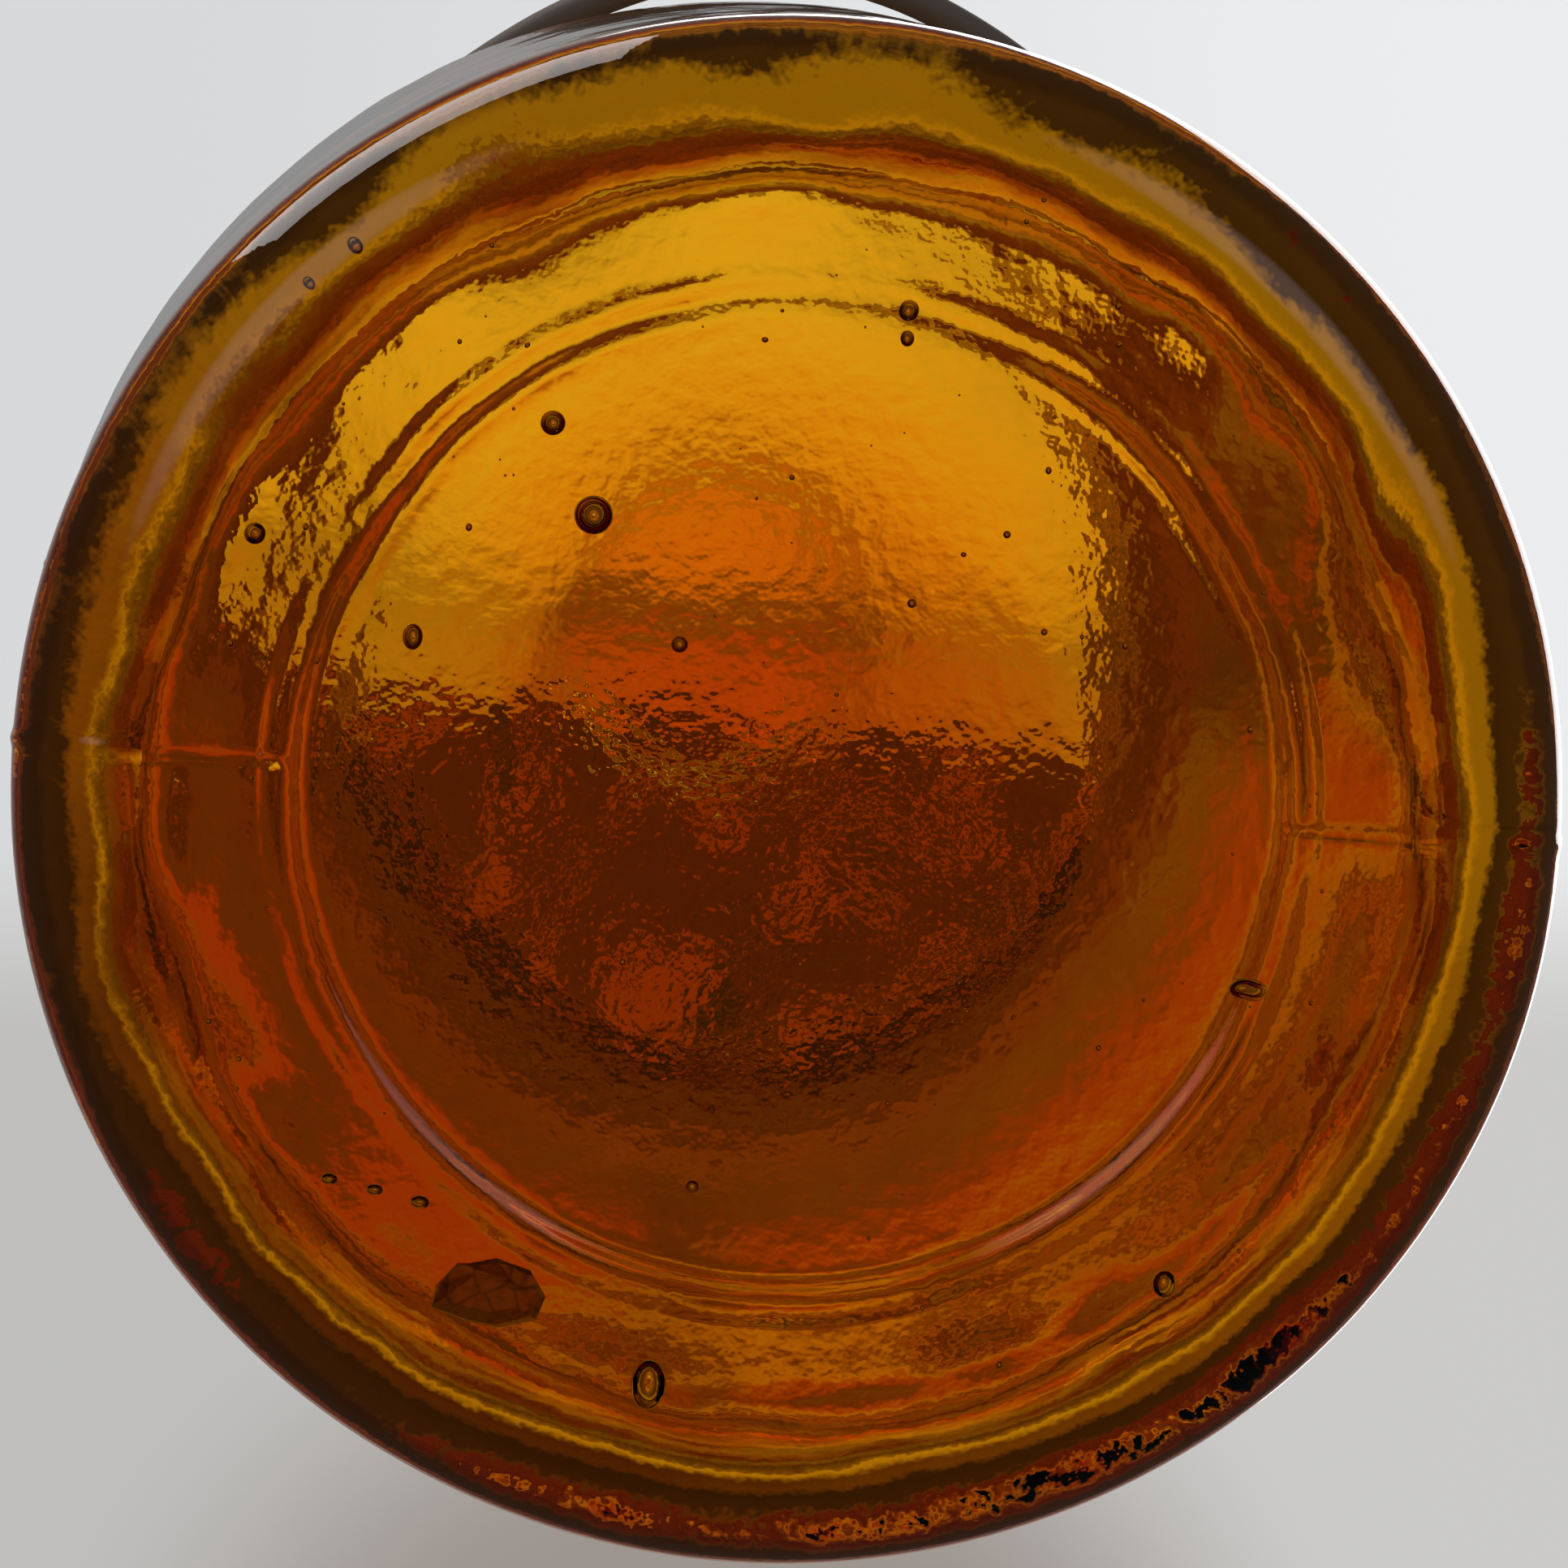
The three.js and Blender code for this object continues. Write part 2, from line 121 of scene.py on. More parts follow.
# Wires, in millimetres
NECK_WIRE_R = 1.3
LEVER_WIRE_R = 1.2
BAIL_WIRE_R = 1.2
COIL_GAP = 0.6
RUNNING_GAP = 0.3
SEAT_GAP = 0.3
EAR_TURNS = 1
EYE_TURNS = 1.25
TWIST_LENGTH = 10.0
TWIST_TURNS = 1.5
TWIST_START = 3.6
CRANK_LENGTH = 13.0
CRANK_ANGLE = math.radians(22)
LEVER_SLOPE = math.radians(14)
LEVER_REACH = 53.4
LEVER_SIDE_HANDLE = 8.0
LEVER_FRONT_HANDLE = 26.0
BAIL_LEG = 26.0
BAIL_SHOULDER_WIDTH = 82.0
BAIL_ARCH_RISE = 0.7
EAR_COIL_R = LEVER_WIRE_R + RUNNING_GAP + NECK_WIRE_R
EYE_COIL_R = BAIL_WIRE_R + RUNNING_GAP + LEVER_WIRE_R
NECK_WIRE_Z = BEAD_BOTTOM - SEAT_GAP - NECK_WIRE_R
NECK_WIRE_RING_R = NECK_R + SEAT_GAP + NECK_WIRE_R
LEVER_PIVOT_Z = NECK_WIRE_Z - EAR_COIL_R
EAR_PITCH = 2 * NECK_WIRE_R + COIL_GAP
EYE_PITCH = 2 * LEVER_WIRE_R + COIL_GAP
CRANK_X = NECK_WIRE_RING_R + EAR_TURNS * EAR_PITCH + NECK_WIRE_R + RUNNING_GAP + LEVER_WIRE_R
ARM_X = CRANK_X + EYE_TURNS * EYE_PITCH
BAIL_X = ARM_X + LEVER_WIRE_R + RUNNING_GAP + BAIL_WIRE_R
BAIL_PIVOT_Y = -CRANK_LENGTH * math.sin(CRANK_ANGLE)
BAIL_PIVOT_Z = LEVER_PIVOT_Z - CRANK_LENGTH * math.cos(CRANK_ANGLE)
CROSS_WIRE_Z = BOSS_TOP - NOTCH_DEPTH + SEAT_GAP + BAIL_WIRE_R

# The jar lies turned a little on the photograph's table: its front is this far right of straight up
JAR_TURN = math.radians(4)
VIEW_RIGHT = Vector((math.cos(JAR_TURN), -math.sin(JAR_TURN), 0))
VIEW_UP = Vector((-math.sin(JAR_TURN), -math.cos(JAR_TURN), 0))

# Bubbles that show: millimetres right of and above the base's centre, diameter, and stretch
LARGE_BUBBLES = (
    (-12.5, 17.9, 2.5, 1.0),
    (-15.1, 23.8, 1.6, 1.0),
    (-24.1, 10.1, 1.3, 1.3),
    (-7.0, 9.6, 1.1, 1.0),
    (7.7, 31.0, 1.3, 1.0),
    (7.6, 29.2, 0.9, 1.2),
    (-6.2, -25.3, 0.9, 1.0),
    (29.6, -12.7, 2.4, 0.6),
    (-9.0, -38.1, 2.3, 1.4),
    (24.2, -31.7, 1.5, 1.2),
    (-34.2, 16.7, 1.4, 1.0),
    (-29.5, -24.8, 1.1, 0.7),
    (-26.6, -25.5, 1.1, 0.7),
    (-23.7, -26.3, 1.3, 0.7),
    (-27.4, 34.7, 0.9, 1.0),
    (-30.3, 32.3, 0.7, 1.0),
    (7.9, 12.2, 0.6, 1.0),
    (14.0, 16.6, 0.5, 1.0),
)

# Rows of waves in the glass: their height, the factor on z that draws them out along the jar, their
# length, and where their pattern starts
WALL_WAVES = ((0.75, 0.45, 19, 8.2), (0.35, 0.7, 8, 2.9), (0.08, 1, 3.4, 1.7))
CORNER_LUMPS = ((0.55, 0, 15, 3.3), (0.3, 1, 6, 6.1), (0.06, 1, 2.5, 4.4))
FLOOR_RIPPLES = ((0.014, 0, 4.2, 2.9), (0.006, 0, 1.7, 1.7))

# Roughness of the lid's underside, and in metres where its dried edge lies in front of the middle
LID_DULL = (0.84, 0.92)
LID_STAINED = (0.12, 0.2)
BLOOM_EDGE = (-0.0062, -0.0057)

# Dulling of the jar's glass, and painted shade that darkens it, as levels over a share of a height or a
# distance
BLOOMED_SHOULDER = ((0.12, 0.0), (0.38, 0.42), (0.7, 0.42), (0.82, 0.0))
SHADED_NECK = ((0.2, 0.0), (0.35, 0.8), (0.78, 0.8), (0.84, 0.0))
SHADED_HEEL = ((0.24, 0.0), (0.36, 0.7), (0.7, 0.7), (0.86, 0.0))
WRINKLES_PER_METRE = 800.0
FLOOR_WRINKLES = 0.4
GLASS_IOR = 1.52
DENT_SIZE = 2.2

# A flake of sand in the base: millimetres right of and above its centre, and its size
STONE_PLACE = (-19.3, -32.3)
STONE_SIZE = (7.4, 4.6, 1.6)

# Stage: heights and reaches in metres, and the colours of its light
FLOOR_FADE = (0.35, 2.4)
LIGHT_HEIGHT = 0.216
BACKDROP_HEIGHT = 0.6
FLOOR_REACH = 6.0
CARD_REACH = 0.16
ROOM_LIGHT = (0.8, 0.8, 0.8)
SOFT_LIGHT = (0.55, 0.55, 0.55)
DARK_BORDER = (0.05, 0.018, 0.0)
MOUTH_GLOW = (
    (0.0, (0.86, 0.115, 0.0)),
    (0.08, (0.84, 0.14, 0.0)),
    (0.23, (0.8, 0.18, 0.01)),
    (0.385, (0.8, 0.26, 0.03)),
    (0.54, (0.86, 0.4, 0.06)),
    (0.69, (0.9, 0.56, 0.12)),
    (0.85, (0.92, 0.68, 0.2)),
    (1.0, (0.98, 0.9, 0.4)),
)

# Colours round the mouth from near to far, at the sides, at the top and in the crescent below
AROUND_SIDES = ((0.5, 0.05, 0.0), (1.0, 0.4, 0.03), (0.56, 0.16, 0.02), (0.5, 0.26, 0.03))
AROUND_TOP = ((0.85, 0.75, 0.25), (1.3, 0.8, 0.06), (0.85, 0.33, 0.03), (0.44, 0.2, 0.0))
AROUND_CRESCENT = ((0.46, 0.03, 0.0), (1.6, 1.25, 0.12), (0.62, 0.22, 0.03), (0.95, 0.8, 0.1))


def greys(stops):
    """Stops with a grey in place of each level."""
    return [(share, (level, level, level)) for share, level in stops]


# The room that glass shows, below and above the horizon, and the one that glossy surfaces mirror
ROOM_BELOW = greys(((0.0, 0.4), (0.46, 0.72), (0.5, 0.66), (0.68, 0.6), (1.0, 0.6)))
ROOM_ABOVE = (
    (0.0, (0.09, 0.04, 0.0)),
    (0.2, (0.2, 0.13, 0.02)),
    (0.4, (0.3, 0.21, 0.06)),
    (0.62, (0.4, 0.42, 0.3)),
    (1.0, (0.42, 0.46, 0.34)),
)
MIRRORED_DARK = greys(((0.0, 0.012), (0.3, 0.03), (0.9, 0.05), (1.0, 0.3)))
MIRRORED_WINDOWS = ((-0.5, (0.95, 0.75, 0.73)), (0.55, (1.0, 0.8, 0.78)))


def length_setting(name, description, default):
    """A size in metres that a user may change."""
    return FloatProperty(name=name, description=description, default=default, unit="LENGTH")


def colour_setting(name, description, default):
    """A colour that a user may change."""
    return FloatVectorProperty(
        name=name, description=description, default=default, size=3, min=0, max=1, subtype="COLOR"
    )


class GlassSettings(bpy.types.PropertyGroup):
    """Sizes and colour of the glass."""

    side_wall: length_setting("Side wall", "Thickness of the wall", 4.5 * MM)
    base_glass: length_setting("Base glass", "Thickness of the base", 7.8 * MM)
    base_push_up: length_setting("Base push-up", "Rise of the base plate over the bearing ring", 0.7 * MM)
    base_plate: length_setting("Base plate", "Diameter of the round seam in the base", 65 * MM)
    waves: length_setting("Waves", "Height of the waves on the inner wall", 0.4 * MM)
    seeds: IntProperty(name="Seeds", description="Number of tiny bubbles in the base", default=150, min=0)
    colour: colour_setting("Glass colour", "Colour of light through the glass", (0.9375, 0.786, 0.0))
    density: FloatProperty(name="Depth of colour", description="Absorption per metre", default=400.0, min=0)
    lid_density: FloatProperty(
        name="Lid's depth of colour",
        description="Absorption of the lid's paler glass per metre",
        default=140.0,
        min=0,
    )


class WireSettings(bpy.types.PropertyGroup):
    """Finish of the iron wires."""

    sides: IntProperty(name="Sides", description="Facets round the wire", default=20, min=6)
    dents: length_setting("Dents", "Height of the wire's dents", 0.05 * MM)
    iron: colour_setting("Iron", "Bare dark iron", (0.012, 0.0125, 0.014))
    rust: colour_setting("Rust", "Rust patches", (0.16, 0.055, 0.021))


class RubberSettings(bpy.types.PropertyGroup):
    """Finish of the rubber ring."""

    wear: length_setting("Wear", "Depth of the ring's crumbled edges", 0.9 * MM)
    colour: colour_setting("Rubber", "Aged rubber", (0.05, 0.022, 0.014))


class StageSettings(bpy.types.PropertyGroup):
    """Camera and background."""

    distance: length_setting("Camera distance", "From the base", 1.1)
    lens: FloatProperty(name="Lens", description="Focal length in millimetres", default=395.6)
    camera_left: length_setting("Camera left", "Left of the jar's axis", 0.030)
    camera_above: length_setting("Camera above", "Above the jar's axis", 0.059)
    paper: colour_setting("Paper", "Pale table and floor", (0.62, 0.615, 0.61))


class JarSettings(bpy.types.PropertyGroup):
    """All settings of the fruit jar."""

    glass: PointerProperty(type=GlassSettings)
    wire: PointerProperty(type=WireSettings)
    rubber: PointerProperty(type=RubberSettings)
    stage: PointerProperty(type=StageSettings)


def arc(centre, radius, start, end, steps=14):
    """Points of an arc in a profile, without its first point, between two angles in degrees.

    A pair of radii makes it elliptic."""
    across, up = radius if isinstance(radius, tuple) else (radius, radius)
    points = []
    for i in range(1, steps + 1):
        angle = math.radians(start + (end - start) * i / steps)
        points.append((centre[0] + across * math.cos(angle), centre[1] + up * math.sin(angle)))
    return points


def resampled(points, spacing):
    """The profile with points a fixed distance apart."""
    result = [points[0]]
    left = spacing
    for (r0, z0), (r1, z1) in zip(points, points[1:]):
        length = math.hypot(r1 - r0, z1 - z0)
        done = 0.0
        while length - done >= left:
            done += left
            left = spacing
            share = done / length
            result.append((r0 + (r1 - r0) * share, z0 + (z1 - z0) * share))
        left -= length - done
    result.append(points[-1])
    return result


def softened(points, rounds):
    """The profile with its corners rounded, as molten glass leaves them. Its ends stay."""
    for _ in range(rounds):
        inner = [
            ((a[0] + 2 * b[0] + c[0]) / 4, (a[1] + 2 * b[1] + c[1]) / 4)
            for a, b, c in zip(points, points[1:], points[2:])
        ]
        points = [points[0], *inner, points[-1]]
    return points


def thinned(points, spacing_at):
    """Fewer points where spacing_at(radius, height) allows them to be further apart."""
    result = [points[0]]
    run = 0.0
    for before, point in zip(points, points[1:]):
        run += math.hypot(point[0] - before[0], point[1] - before[1])
        if run >= spacing_at(*point):
            result.append(point)
            run = 0.0
    if result[-1] != points[-1]:
        result[-1] = points[-1]
    return result


def profile_normals(points):
    """Unit normals of a profile that runs outside first, pointing out of the glass."""
    normals = []
    for i in range(len(points)):
        before = points[max(i - 1, 0)]
        after = points[min(i + 1, len(points) - 1)]
        dr, dz = after[0] - before[0], after[1] - before[1]
        length = math.hypot(dr, dz) or 1.0
        normals.append((dz / length, -dr / length))
    return normals


def mesh_of(name, vertices, faces):
    """A mesh of the given vertices and faces."""
    mesh = bpy.data.meshes.new(name)
    mesh.from_pydata(vertices, [], faces)
    mesh.validate()
    return mesh


def turned_mesh(name, profile, angles, shape):
    """A closed mesh turned about Z from a profile that starts and ends on the axis.

    shape(index, angle, radius, height, normal) gives each point's own radius and height."""
    normals = profile_normals(profile)
    count = len(angles)
    vertices, faces = [], []
    last = len(profile) - 1
    for i, (r, z) in enumerate(profile):
        if i in (0, last):
            _, height = shape(i, 0.0, 0.0, z, normals[i])
            vertices.append((0.0, 0.0, height * MM))
            continue
        for angle in angles:
            radius, height = shape(i, angle, r, z, normals[i])
            vertices.append((radius * math.cos(angle) * MM, radius * math.sin(angle) * MM, height * MM))
    for k in range(count):
        following = (k + 1) % count
        faces.append((0, 1 + following, 1 + k))
        end = 1 + (last - 2) * count
        faces.append((end + k, end + following, len(vertices) - 1))
        for i in range(last - 2):
            a = 1 + i * count
            faces.append((a + k, a + following, a + count + following, a + count + k))
    mesh = mesh_of(name, vertices, faces)
    mesh.shade_smooth()
    return mesh


def mark_inside(mesh, first, end):
    """Marks a run of vertices as inside, for the glass's bloom and painted shade."""
    mark = mesh.attributes.new("inside", "FLOAT", "POINT")
    mark.data.foreach_set("value", [float(first <= i < end) for i in range(len(mesh.vertices))])


def add_piece(name, mesh, material, body, slot, *nodes):
    """Puts a finished mesh in the scene as a piece that rides on a body and stands for CAD nodes."""
    piece = bpy.data.objects.new(name, mesh)
    bpy.context.scene.collection.objects.link(piece)
    if material is not None:
        mesh.materials.clear()
        mesh.materials.append(material)
    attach(piece, body)
    if nodes:
        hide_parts(*nodes)
    return piece


def wave(x, y, z, length, offset=0.0):
    """Smooth noise of about -1 to 1 with waves of the given length in millimetres."""
    return noise.noise(Vector((x / length + offset, y / length - offset, z / length + 2 * offset))) * 1.6


def waves(x, y, z, rows):
    """The sum of several rows of waves at a point, in millimetres."""
    return sum(height * wave(x, y, z * stretch, length, start) for height, stretch, length, start in rows)


def risen(value, start, width):
    """How far a value has gone past a start, from 0 to 1 over a width."""
    return min(1.0, max(0.0, (value - start) / width))


def hump(distance, width):
    """A smooth bump, 1 in its middle and nearly 0 at twice its width."""
    return math.exp(-((distance / width) ** 2))


def on_circle(radius, angle, height):
    """A point round the jar's axis."""
    return Vector((radius * math.cos(angle), radius * math.sin(angle), height))


def shoulder(offset):
    """The shoulder's convex and hollow arcs, for the outer wall or, with an offset, the inner one."""
    convex = SHOULDER_R - offset
    hollow = NECK_FILLET + offset
    turn = math.degrees(SHOULDER_ANGLE)
    return [
        *arc((BODY_R - SHOULDER_R, BODY_TOP), convex, 0, turn),
        *arc((NECK_R + NECK_FILLET, NECK_BOTTOM), hollow, 180 + turn, 180),
    ]


def glass_profile(glass):
    """Outer and inner outline of the glass body, from the base's centre round the lip to the floor."""
    wall = glass.side_wall / MM
    push_up = glass.base_push_up / MM
    plate_r = glass.base_plate / MM / 2
    floor_edge = glass.base_glass / MM + push_up
    inner_r = BODY_R - wall
    lip_round = LIP_WALL / 2
    floor_r = inner_r - INNER_CORNER_R
    corner_centre = (floor_r, floor_edge + INNER_CORNER_R)
    shares = (0.8, 0.6, 0.4, 0.2, 0.0)
    floor = [(floor_r * share, floor_edge + BASE_DOME * (1 - share * share)) for share in shares]
    outside = [
        (0, push_up),
        (plate_r - BASE_SEAM_SLOPE, push_up),
        (plate_r, 0),
        (BODY_R - HEEL_R, 0),
        *arc((BODY_R - HEEL_R, HEEL_R), HEEL_R, -90, 0),
        (BODY_R, BODY_TOP),
        *shoulder(0),
        (NECK_R, BEAD_BOTTOM),
        *arc((NECK_R, BEAD_BOTTOM + BEAD_ROUNDING), (BEAD_OVERHANG, BEAD_ROUNDING), -90, 0),
        (NECK_R + BEAD_OVERHANG, LEDGE - LEDGE_CORNER),
        *arc((NECK_R + BEAD_OVERHANG - LEDGE_CORNER, LEDGE - LEDGE_CORNER), LEDGE_CORNER, 0, 90),
        (LIP_R, LEDGE),
        (LIP_R, LIP_TOP - lip_round),
        *arc((LIP_R - lip_round, LIP_TOP - lip_round), lip_round, 0, 180),
    ]
    inside = [
        (LIP_R - LIP_WALL, LEDGE),
        (NECK_R - wall, BEAD_BOTTOM),
        *reversed(shoulder(wall)),
        (inner_r, BODY_TOP),
        (inner_r, floor_edge + INNER_CORNER_R),
        *arc(corner_centre, INNER_CORNER_R, 0, -90),
        *floor,
    ]
    return outside, inside


def glass_spacing(radius, height):
    """How far apart the glass body's rings may be, in millimetres."""
    if height < 2 and 29 < radius < 36:
        return 0.3
    if height < 24:
        return 0.8
    if height < BODY_TOP:
        return 3.0
    return 1.0


def seam_angles(count, seam_steps):
    """Even angles round the jar, and closer ones across the two mould seams at +X and -X."""
    angles = {round(2 * math.pi * i / count, 6) for i in range(count)}
    for seam in (0.0, math.pi):
        for step in seam_steps:
            angles.add(round((seam + step / BODY_R) % (2 * math.pi), 6))
            angles.add(round((seam - step / BODY_R) % (2 * math.pi), 6))
    return sorted(angles)


def seam_ridge(angle, height):
    """Height of the raised line that the mould's halves leave on the outside."""
    across = min(abs(math.remainder(angle, math.pi)) * BODY_R, 3.0)
    wander = 0.5 + 0.5 * noise.noise(Vector((height / 9, angle, 4.0)))
    fade = risen(BEAD_BOTTOM - 3 - height, 0, 4)
    return 0.3 * wander * fade * hump(across, 0.45)


def base_groove(angle, radius, plate_r):
    """Depth of the uneven grooves on both sides of the base plate's edge, which fade out in front."""
    x, y, _ = on_circle(GROOVE_PATTERN_R, angle, 0)
    fade = 1 - 0.92 * hump(math.remainder(angle + math.pi / 2 - 0.05, 2 * math.pi), 0.35)
    seam_r = plate_r + 0.3 * wave(x, y, 0, 14, 3.1) + 0.2 * wave(x, y, 0, 4, 7.7)
    inner = max(0.0, 0.14 + 0.2 * wave(x, y, 0, 16, 9.3))
    outer = max(0.0, 0.16 + 0.2 * wave(x, y, 0, 12, 5.9))
    return fade * (inner * hump(radius - seam_r + 1.5, 0.28) + outer * hump(radius - seam_r - 0.7, 0.3))


def plate_height(x, y, plate_r, push_up):
    """Height of the base plate over the bearing ring, which it nearly meets in front."""
    level = push_up * (0.5 + 0.36 * y / plate_r)
    return level * risen(plate_r - math.hypot(x, y), 0, BASE_SEAM_SLOPE)


def cupped_floor(x, y):
    """Rise of the floor inside towards the two sides."""
    radius = math.hypot(x, y)
    if radius <= CUP_START:
        return 0.0
    return CUP_RISE * risen(radius, CUP_START, CUP_WIDTH) * (x / radius) ** 2


def outer_dent(x, y, z, angle, radius, plate_r):
    """How far the outside lies under its true outline: chill waves, whittle marks and the base groove.

    The heel is smoother than the sides, because it lay on the mould's base."""
    if z > BEAD_BOTTOM - 2:
        return 0.05 + 0.05 * wave(x, y, z, 6)
    share = risen(z, 11, 14)
    depth = (0.04 + 0.12 * share) * (1 + wave(x, y, z * 0.6, 17, 1.3))
    depth += (0.006 + 0.05 * share) * (1 + wave(x, y, z * 1.6, 4.5, 2.4))
    if z < 3 and radius < plate_r + 6:
        depth += base_groove(angle, radius, plate_r)
    return max(depth, 0.0)


def inner_wave(x, y, z, height_mm):
    """Waves of the inner wall, which no mould ever touched, and lumps in the corner at the floor.

    The floor is calmer than the sides, and calmest near its middle."""
    if z > BEAD_BOTTOM - 2:
        return 0.05 * wave(x, y, z, 7, 5.0)
    radius = math.hypot(x, y)
    sides = height_mm * waves(x, y, z, WALL_WAVES) * max(0.35, risen(z, 8, 16))
    lumps = hump(radius - 41.5, 3.5) * hump(z - 10, 5) * waves(x, y, z, CORNER_LUMPS)
    floor = 0.1 * wave(x, y, 0, 30, 8.2) + BASE_LEAN * y + cupped_floor(x, y)
    ruffled = 0.25 + 0.75 * risen(math.hypot(x + 2, y + 10), 24, 6)
    floor += ruffled * waves(x, y, 0, FLOOR_RIPPLES)
    share = risen(radius, 39, 5)
    return sides * share + floor * (1 - share) + lumps


def glass_body_mesh(glass):
    """The glass body, turned from its profile, with its waves, seams and grooves."""
    outside, inside = glass_profile(glass)
    smooth_out = softened(resampled(outside, PROFILE_STEP), 5)
    smooth_in = softened(resampled([outside[-1], *inside], PROFILE_STEP), 5)
    outer = thinned(smooth_out, glass_spacing)
    inner = thinned(smooth_in, glass_spacing)[1:]
    rim = len(outer)
    plate_r = glass.base_plate / MM / 2
    height_mm = glass.waves / MM

    def shape(index, angle, r, z, normal):
        x, y = r * math.cos(angle), r * math.sin(angle)
        if index < rim:
            if z < 2 and r < plate_r:
                z = plate_height(x, y, plate_r, glass.base_push_up / MM)
            push = -outer_dent(x, y, z, angle, r, plate_r)
            if plate_r < r:
                push += seam_ridge(angle, z)
            if z < 1 and r > plate_r + 3:
                push = min(push, 0.0)
        else:
            push = inner_wave(x, y, z, height_mm)
        return r + normal[0] * push, max(z + normal[1] * push, 0.0)

    angles = seam_angles(JAR_ANGLES, (0.25, 0.5, 0.8, 1.2))
    mesh = turned_mesh("jar_glass", outer + inner, angles, shape)
    mark_inside(mesh, 1 + (rim - 1) * len(angles), len(mesh.vertices))
    return mesh


def base_point(right, up, height):
    """A point in the base, from its place in the photograph's view, in millimetres."""
    return VIEW_RIGHT * right + VIEW_UP * up + Vector((0, 0, height))


def bubble_points(glass):
    """Places, radii and stretches of the bubbles, in millimetres."""
    chance = random.Random(11)
    middle = (glass.base_glass / 2 + glass.base_push_up) / MM
    points = []
    for right, up, diameter, stretch in LARGE_BUBBLES:
        rise = 1.5 if math.hypot(right, up) > 34 else 0.0
        points.append((base_point(right, up, middle + rise), diameter / 2, stretch))
    for _ in range(glass.seeds):
        reach = (BODY_R - 8) * math.sqrt(chance.random())
        angle = chance.uniform(0, 2 * math.pi)
        place = on_circle(reach, angle, middle + chance.uniform(-2.6, 2.6))
        size = 0.07 + 0.16 * chance.random() ** 3
        points.append((place, size, chance.uniform(0.8, 1.3)))
    wall_middle = BODY_R - glass.side_wall / MM / 2
    for _ in range(glass.seeds):
        angle = chance.uniform(0, 2 * math.pi)
        place = on_circle(wall_middle, angle, chance.uniform(16, BODY_TOP))
        points.append((place, 0.1 + 0.4 * chance.random() ** 4, chance.uniform(1.0, 2.2)))
    return points


def set_inputs(tree, node, inputs):
    """Links the inputs that are given as another node's output, and sets the others."""
    for key, value in inputs.items():
        if isinstance(value, bpy.types.NodeSocket):
            tree.links.new(value, node.inputs[key])
        else:
            node.inputs[key].default_value = value


def add_node(tree, kind, inputs=None, **settings):
    """A new node in a tree, with its settings and inputs."""
    node = tree.nodes.new(kind)
    for name, value in settings.items():
        setattr(node, name, value)
    set_inputs(tree, node, inputs or {})
    return node


def calculated(tree, operation, *values):
    """The result of a Math node on numbers and outputs."""
    return add_node(tree, "ShaderNodeMath", dict(enumerate(values)), operation=operation).outputs["Value"]


def new_tree(name, *inputs):
    """An empty geometry node tree with a Geometry input and output and the named inputs."""
    tree = bpy.data.node_groups.new(name, "GeometryNodeTree")
    for label, kind in (("Geometry", "NodeSocketGeometry"), *inputs):
        tree.interface.new_socket(label, in_out="INPUT", socket_type=kind)
    tree.interface.new_socket("Geometry", in_out="OUTPUT", socket_type="NodeSocketGeometry")
    return tree, add_node(tree, "NodeGroupInput").outputs


def finish_tree(tree, geometry, material):
    """Ends a tree in Realize Instances and Set Material."""
    realize = add_node(tree, "GeometryNodeRealizeInstances", {"Geometry": geometry})
    inputs = {"Geometry": realize.outputs["Geometry"], "Material": material}
    paint = add_node(tree, "GeometryNodeSetMaterial", inputs)
    add_node(tree, "NodeGroupOutput", {"Geometry": paint.outputs["Geometry"]})


def grown(name, seed_mesh, tree, values):
    """The mesh that a node tree makes from a seed mesh, with the tree's inputs set by name."""
    holder = bpy.data.objects.new(name + "_seed", seed_mesh)
    bpy.context.scene.collection.objects.link(holder)
    modifier = holder.modifiers.new(name, "NODES")
    modifier.node_group = tree
    for item in tree.interface.items_tree:
        if item.in_out == "INPUT" and item.name in values:
            modifier[item.identifier] = values[item.name]
    graph = bpy.context.evaluated_depsgraph_get()
    mesh = bpy.data.meshes.new_from_object(holder.evaluated_get(graph))
    mesh.name = name
    holder.modifiers.remove(modifier)
    bpy.data.objects.remove(holder)
    return mesh


def bubble_tree():
    """Node tree that puts a hollow bubble, facing inwards, on each point."""
    tree, given = new_tree(
        "Bubbles in glass", ("Roundness", "NodeSocketInt"), ("Material", "NodeSocketMaterial")
    )
    sphere = add_node(tree, "GeometryNodeMeshIcoSphere", {"Radius": 1.0, "Subdivisions": given["Roundness"]})
    size = add_node(
        tree, "GeometryNodeInputNamedAttribute", {"Name": "bubble_size"}, data_type="FLOAT_VECTOR"
    )
    placed = {
        "Points": given["Geometry"],
        "Instance": sphere.outputs["Mesh"],
        "Scale": size.outputs["Attribute"],
    }
    bubbles = add_node(tree, "GeometryNodeInstanceOnPoints", placed)
    realize = add_node(tree, "GeometryNodeRealizeInstances", {"Geometry": bubbles.outputs["Instances"]})
    flip = add_node(tree, "GeometryNodeFlipFaces", {"Mesh": realize.outputs["Geometry"]})
    smooth = add_node(tree, "GeometryNodeSetShadeSmooth", {"Geometry": flip.outputs["Mesh"]})
    finish_tree(tree, smooth.outputs["Geometry"], given["Material"])
    return tree


def bubbles_mesh(points, roundness, material, tree):
    """The bubbles at the given places, with the given radii and stretches."""
    seed = bpy.data.meshes.new("bubble_points")
    seed.from_pydata([place * MM for place, _, _ in points], [], [])
    sizes = seed.attributes.new("bubble_size", "FLOAT_VECTOR", "POINT")
    for i, (_, radius, stretch) in enumerate(points):
        sizes.data[i].vector = (radius * MM, radius * stretch * MM, radius * MM)
    return grown("bubbles", seed, tree, {"Roundness": roundness, "Material": material})


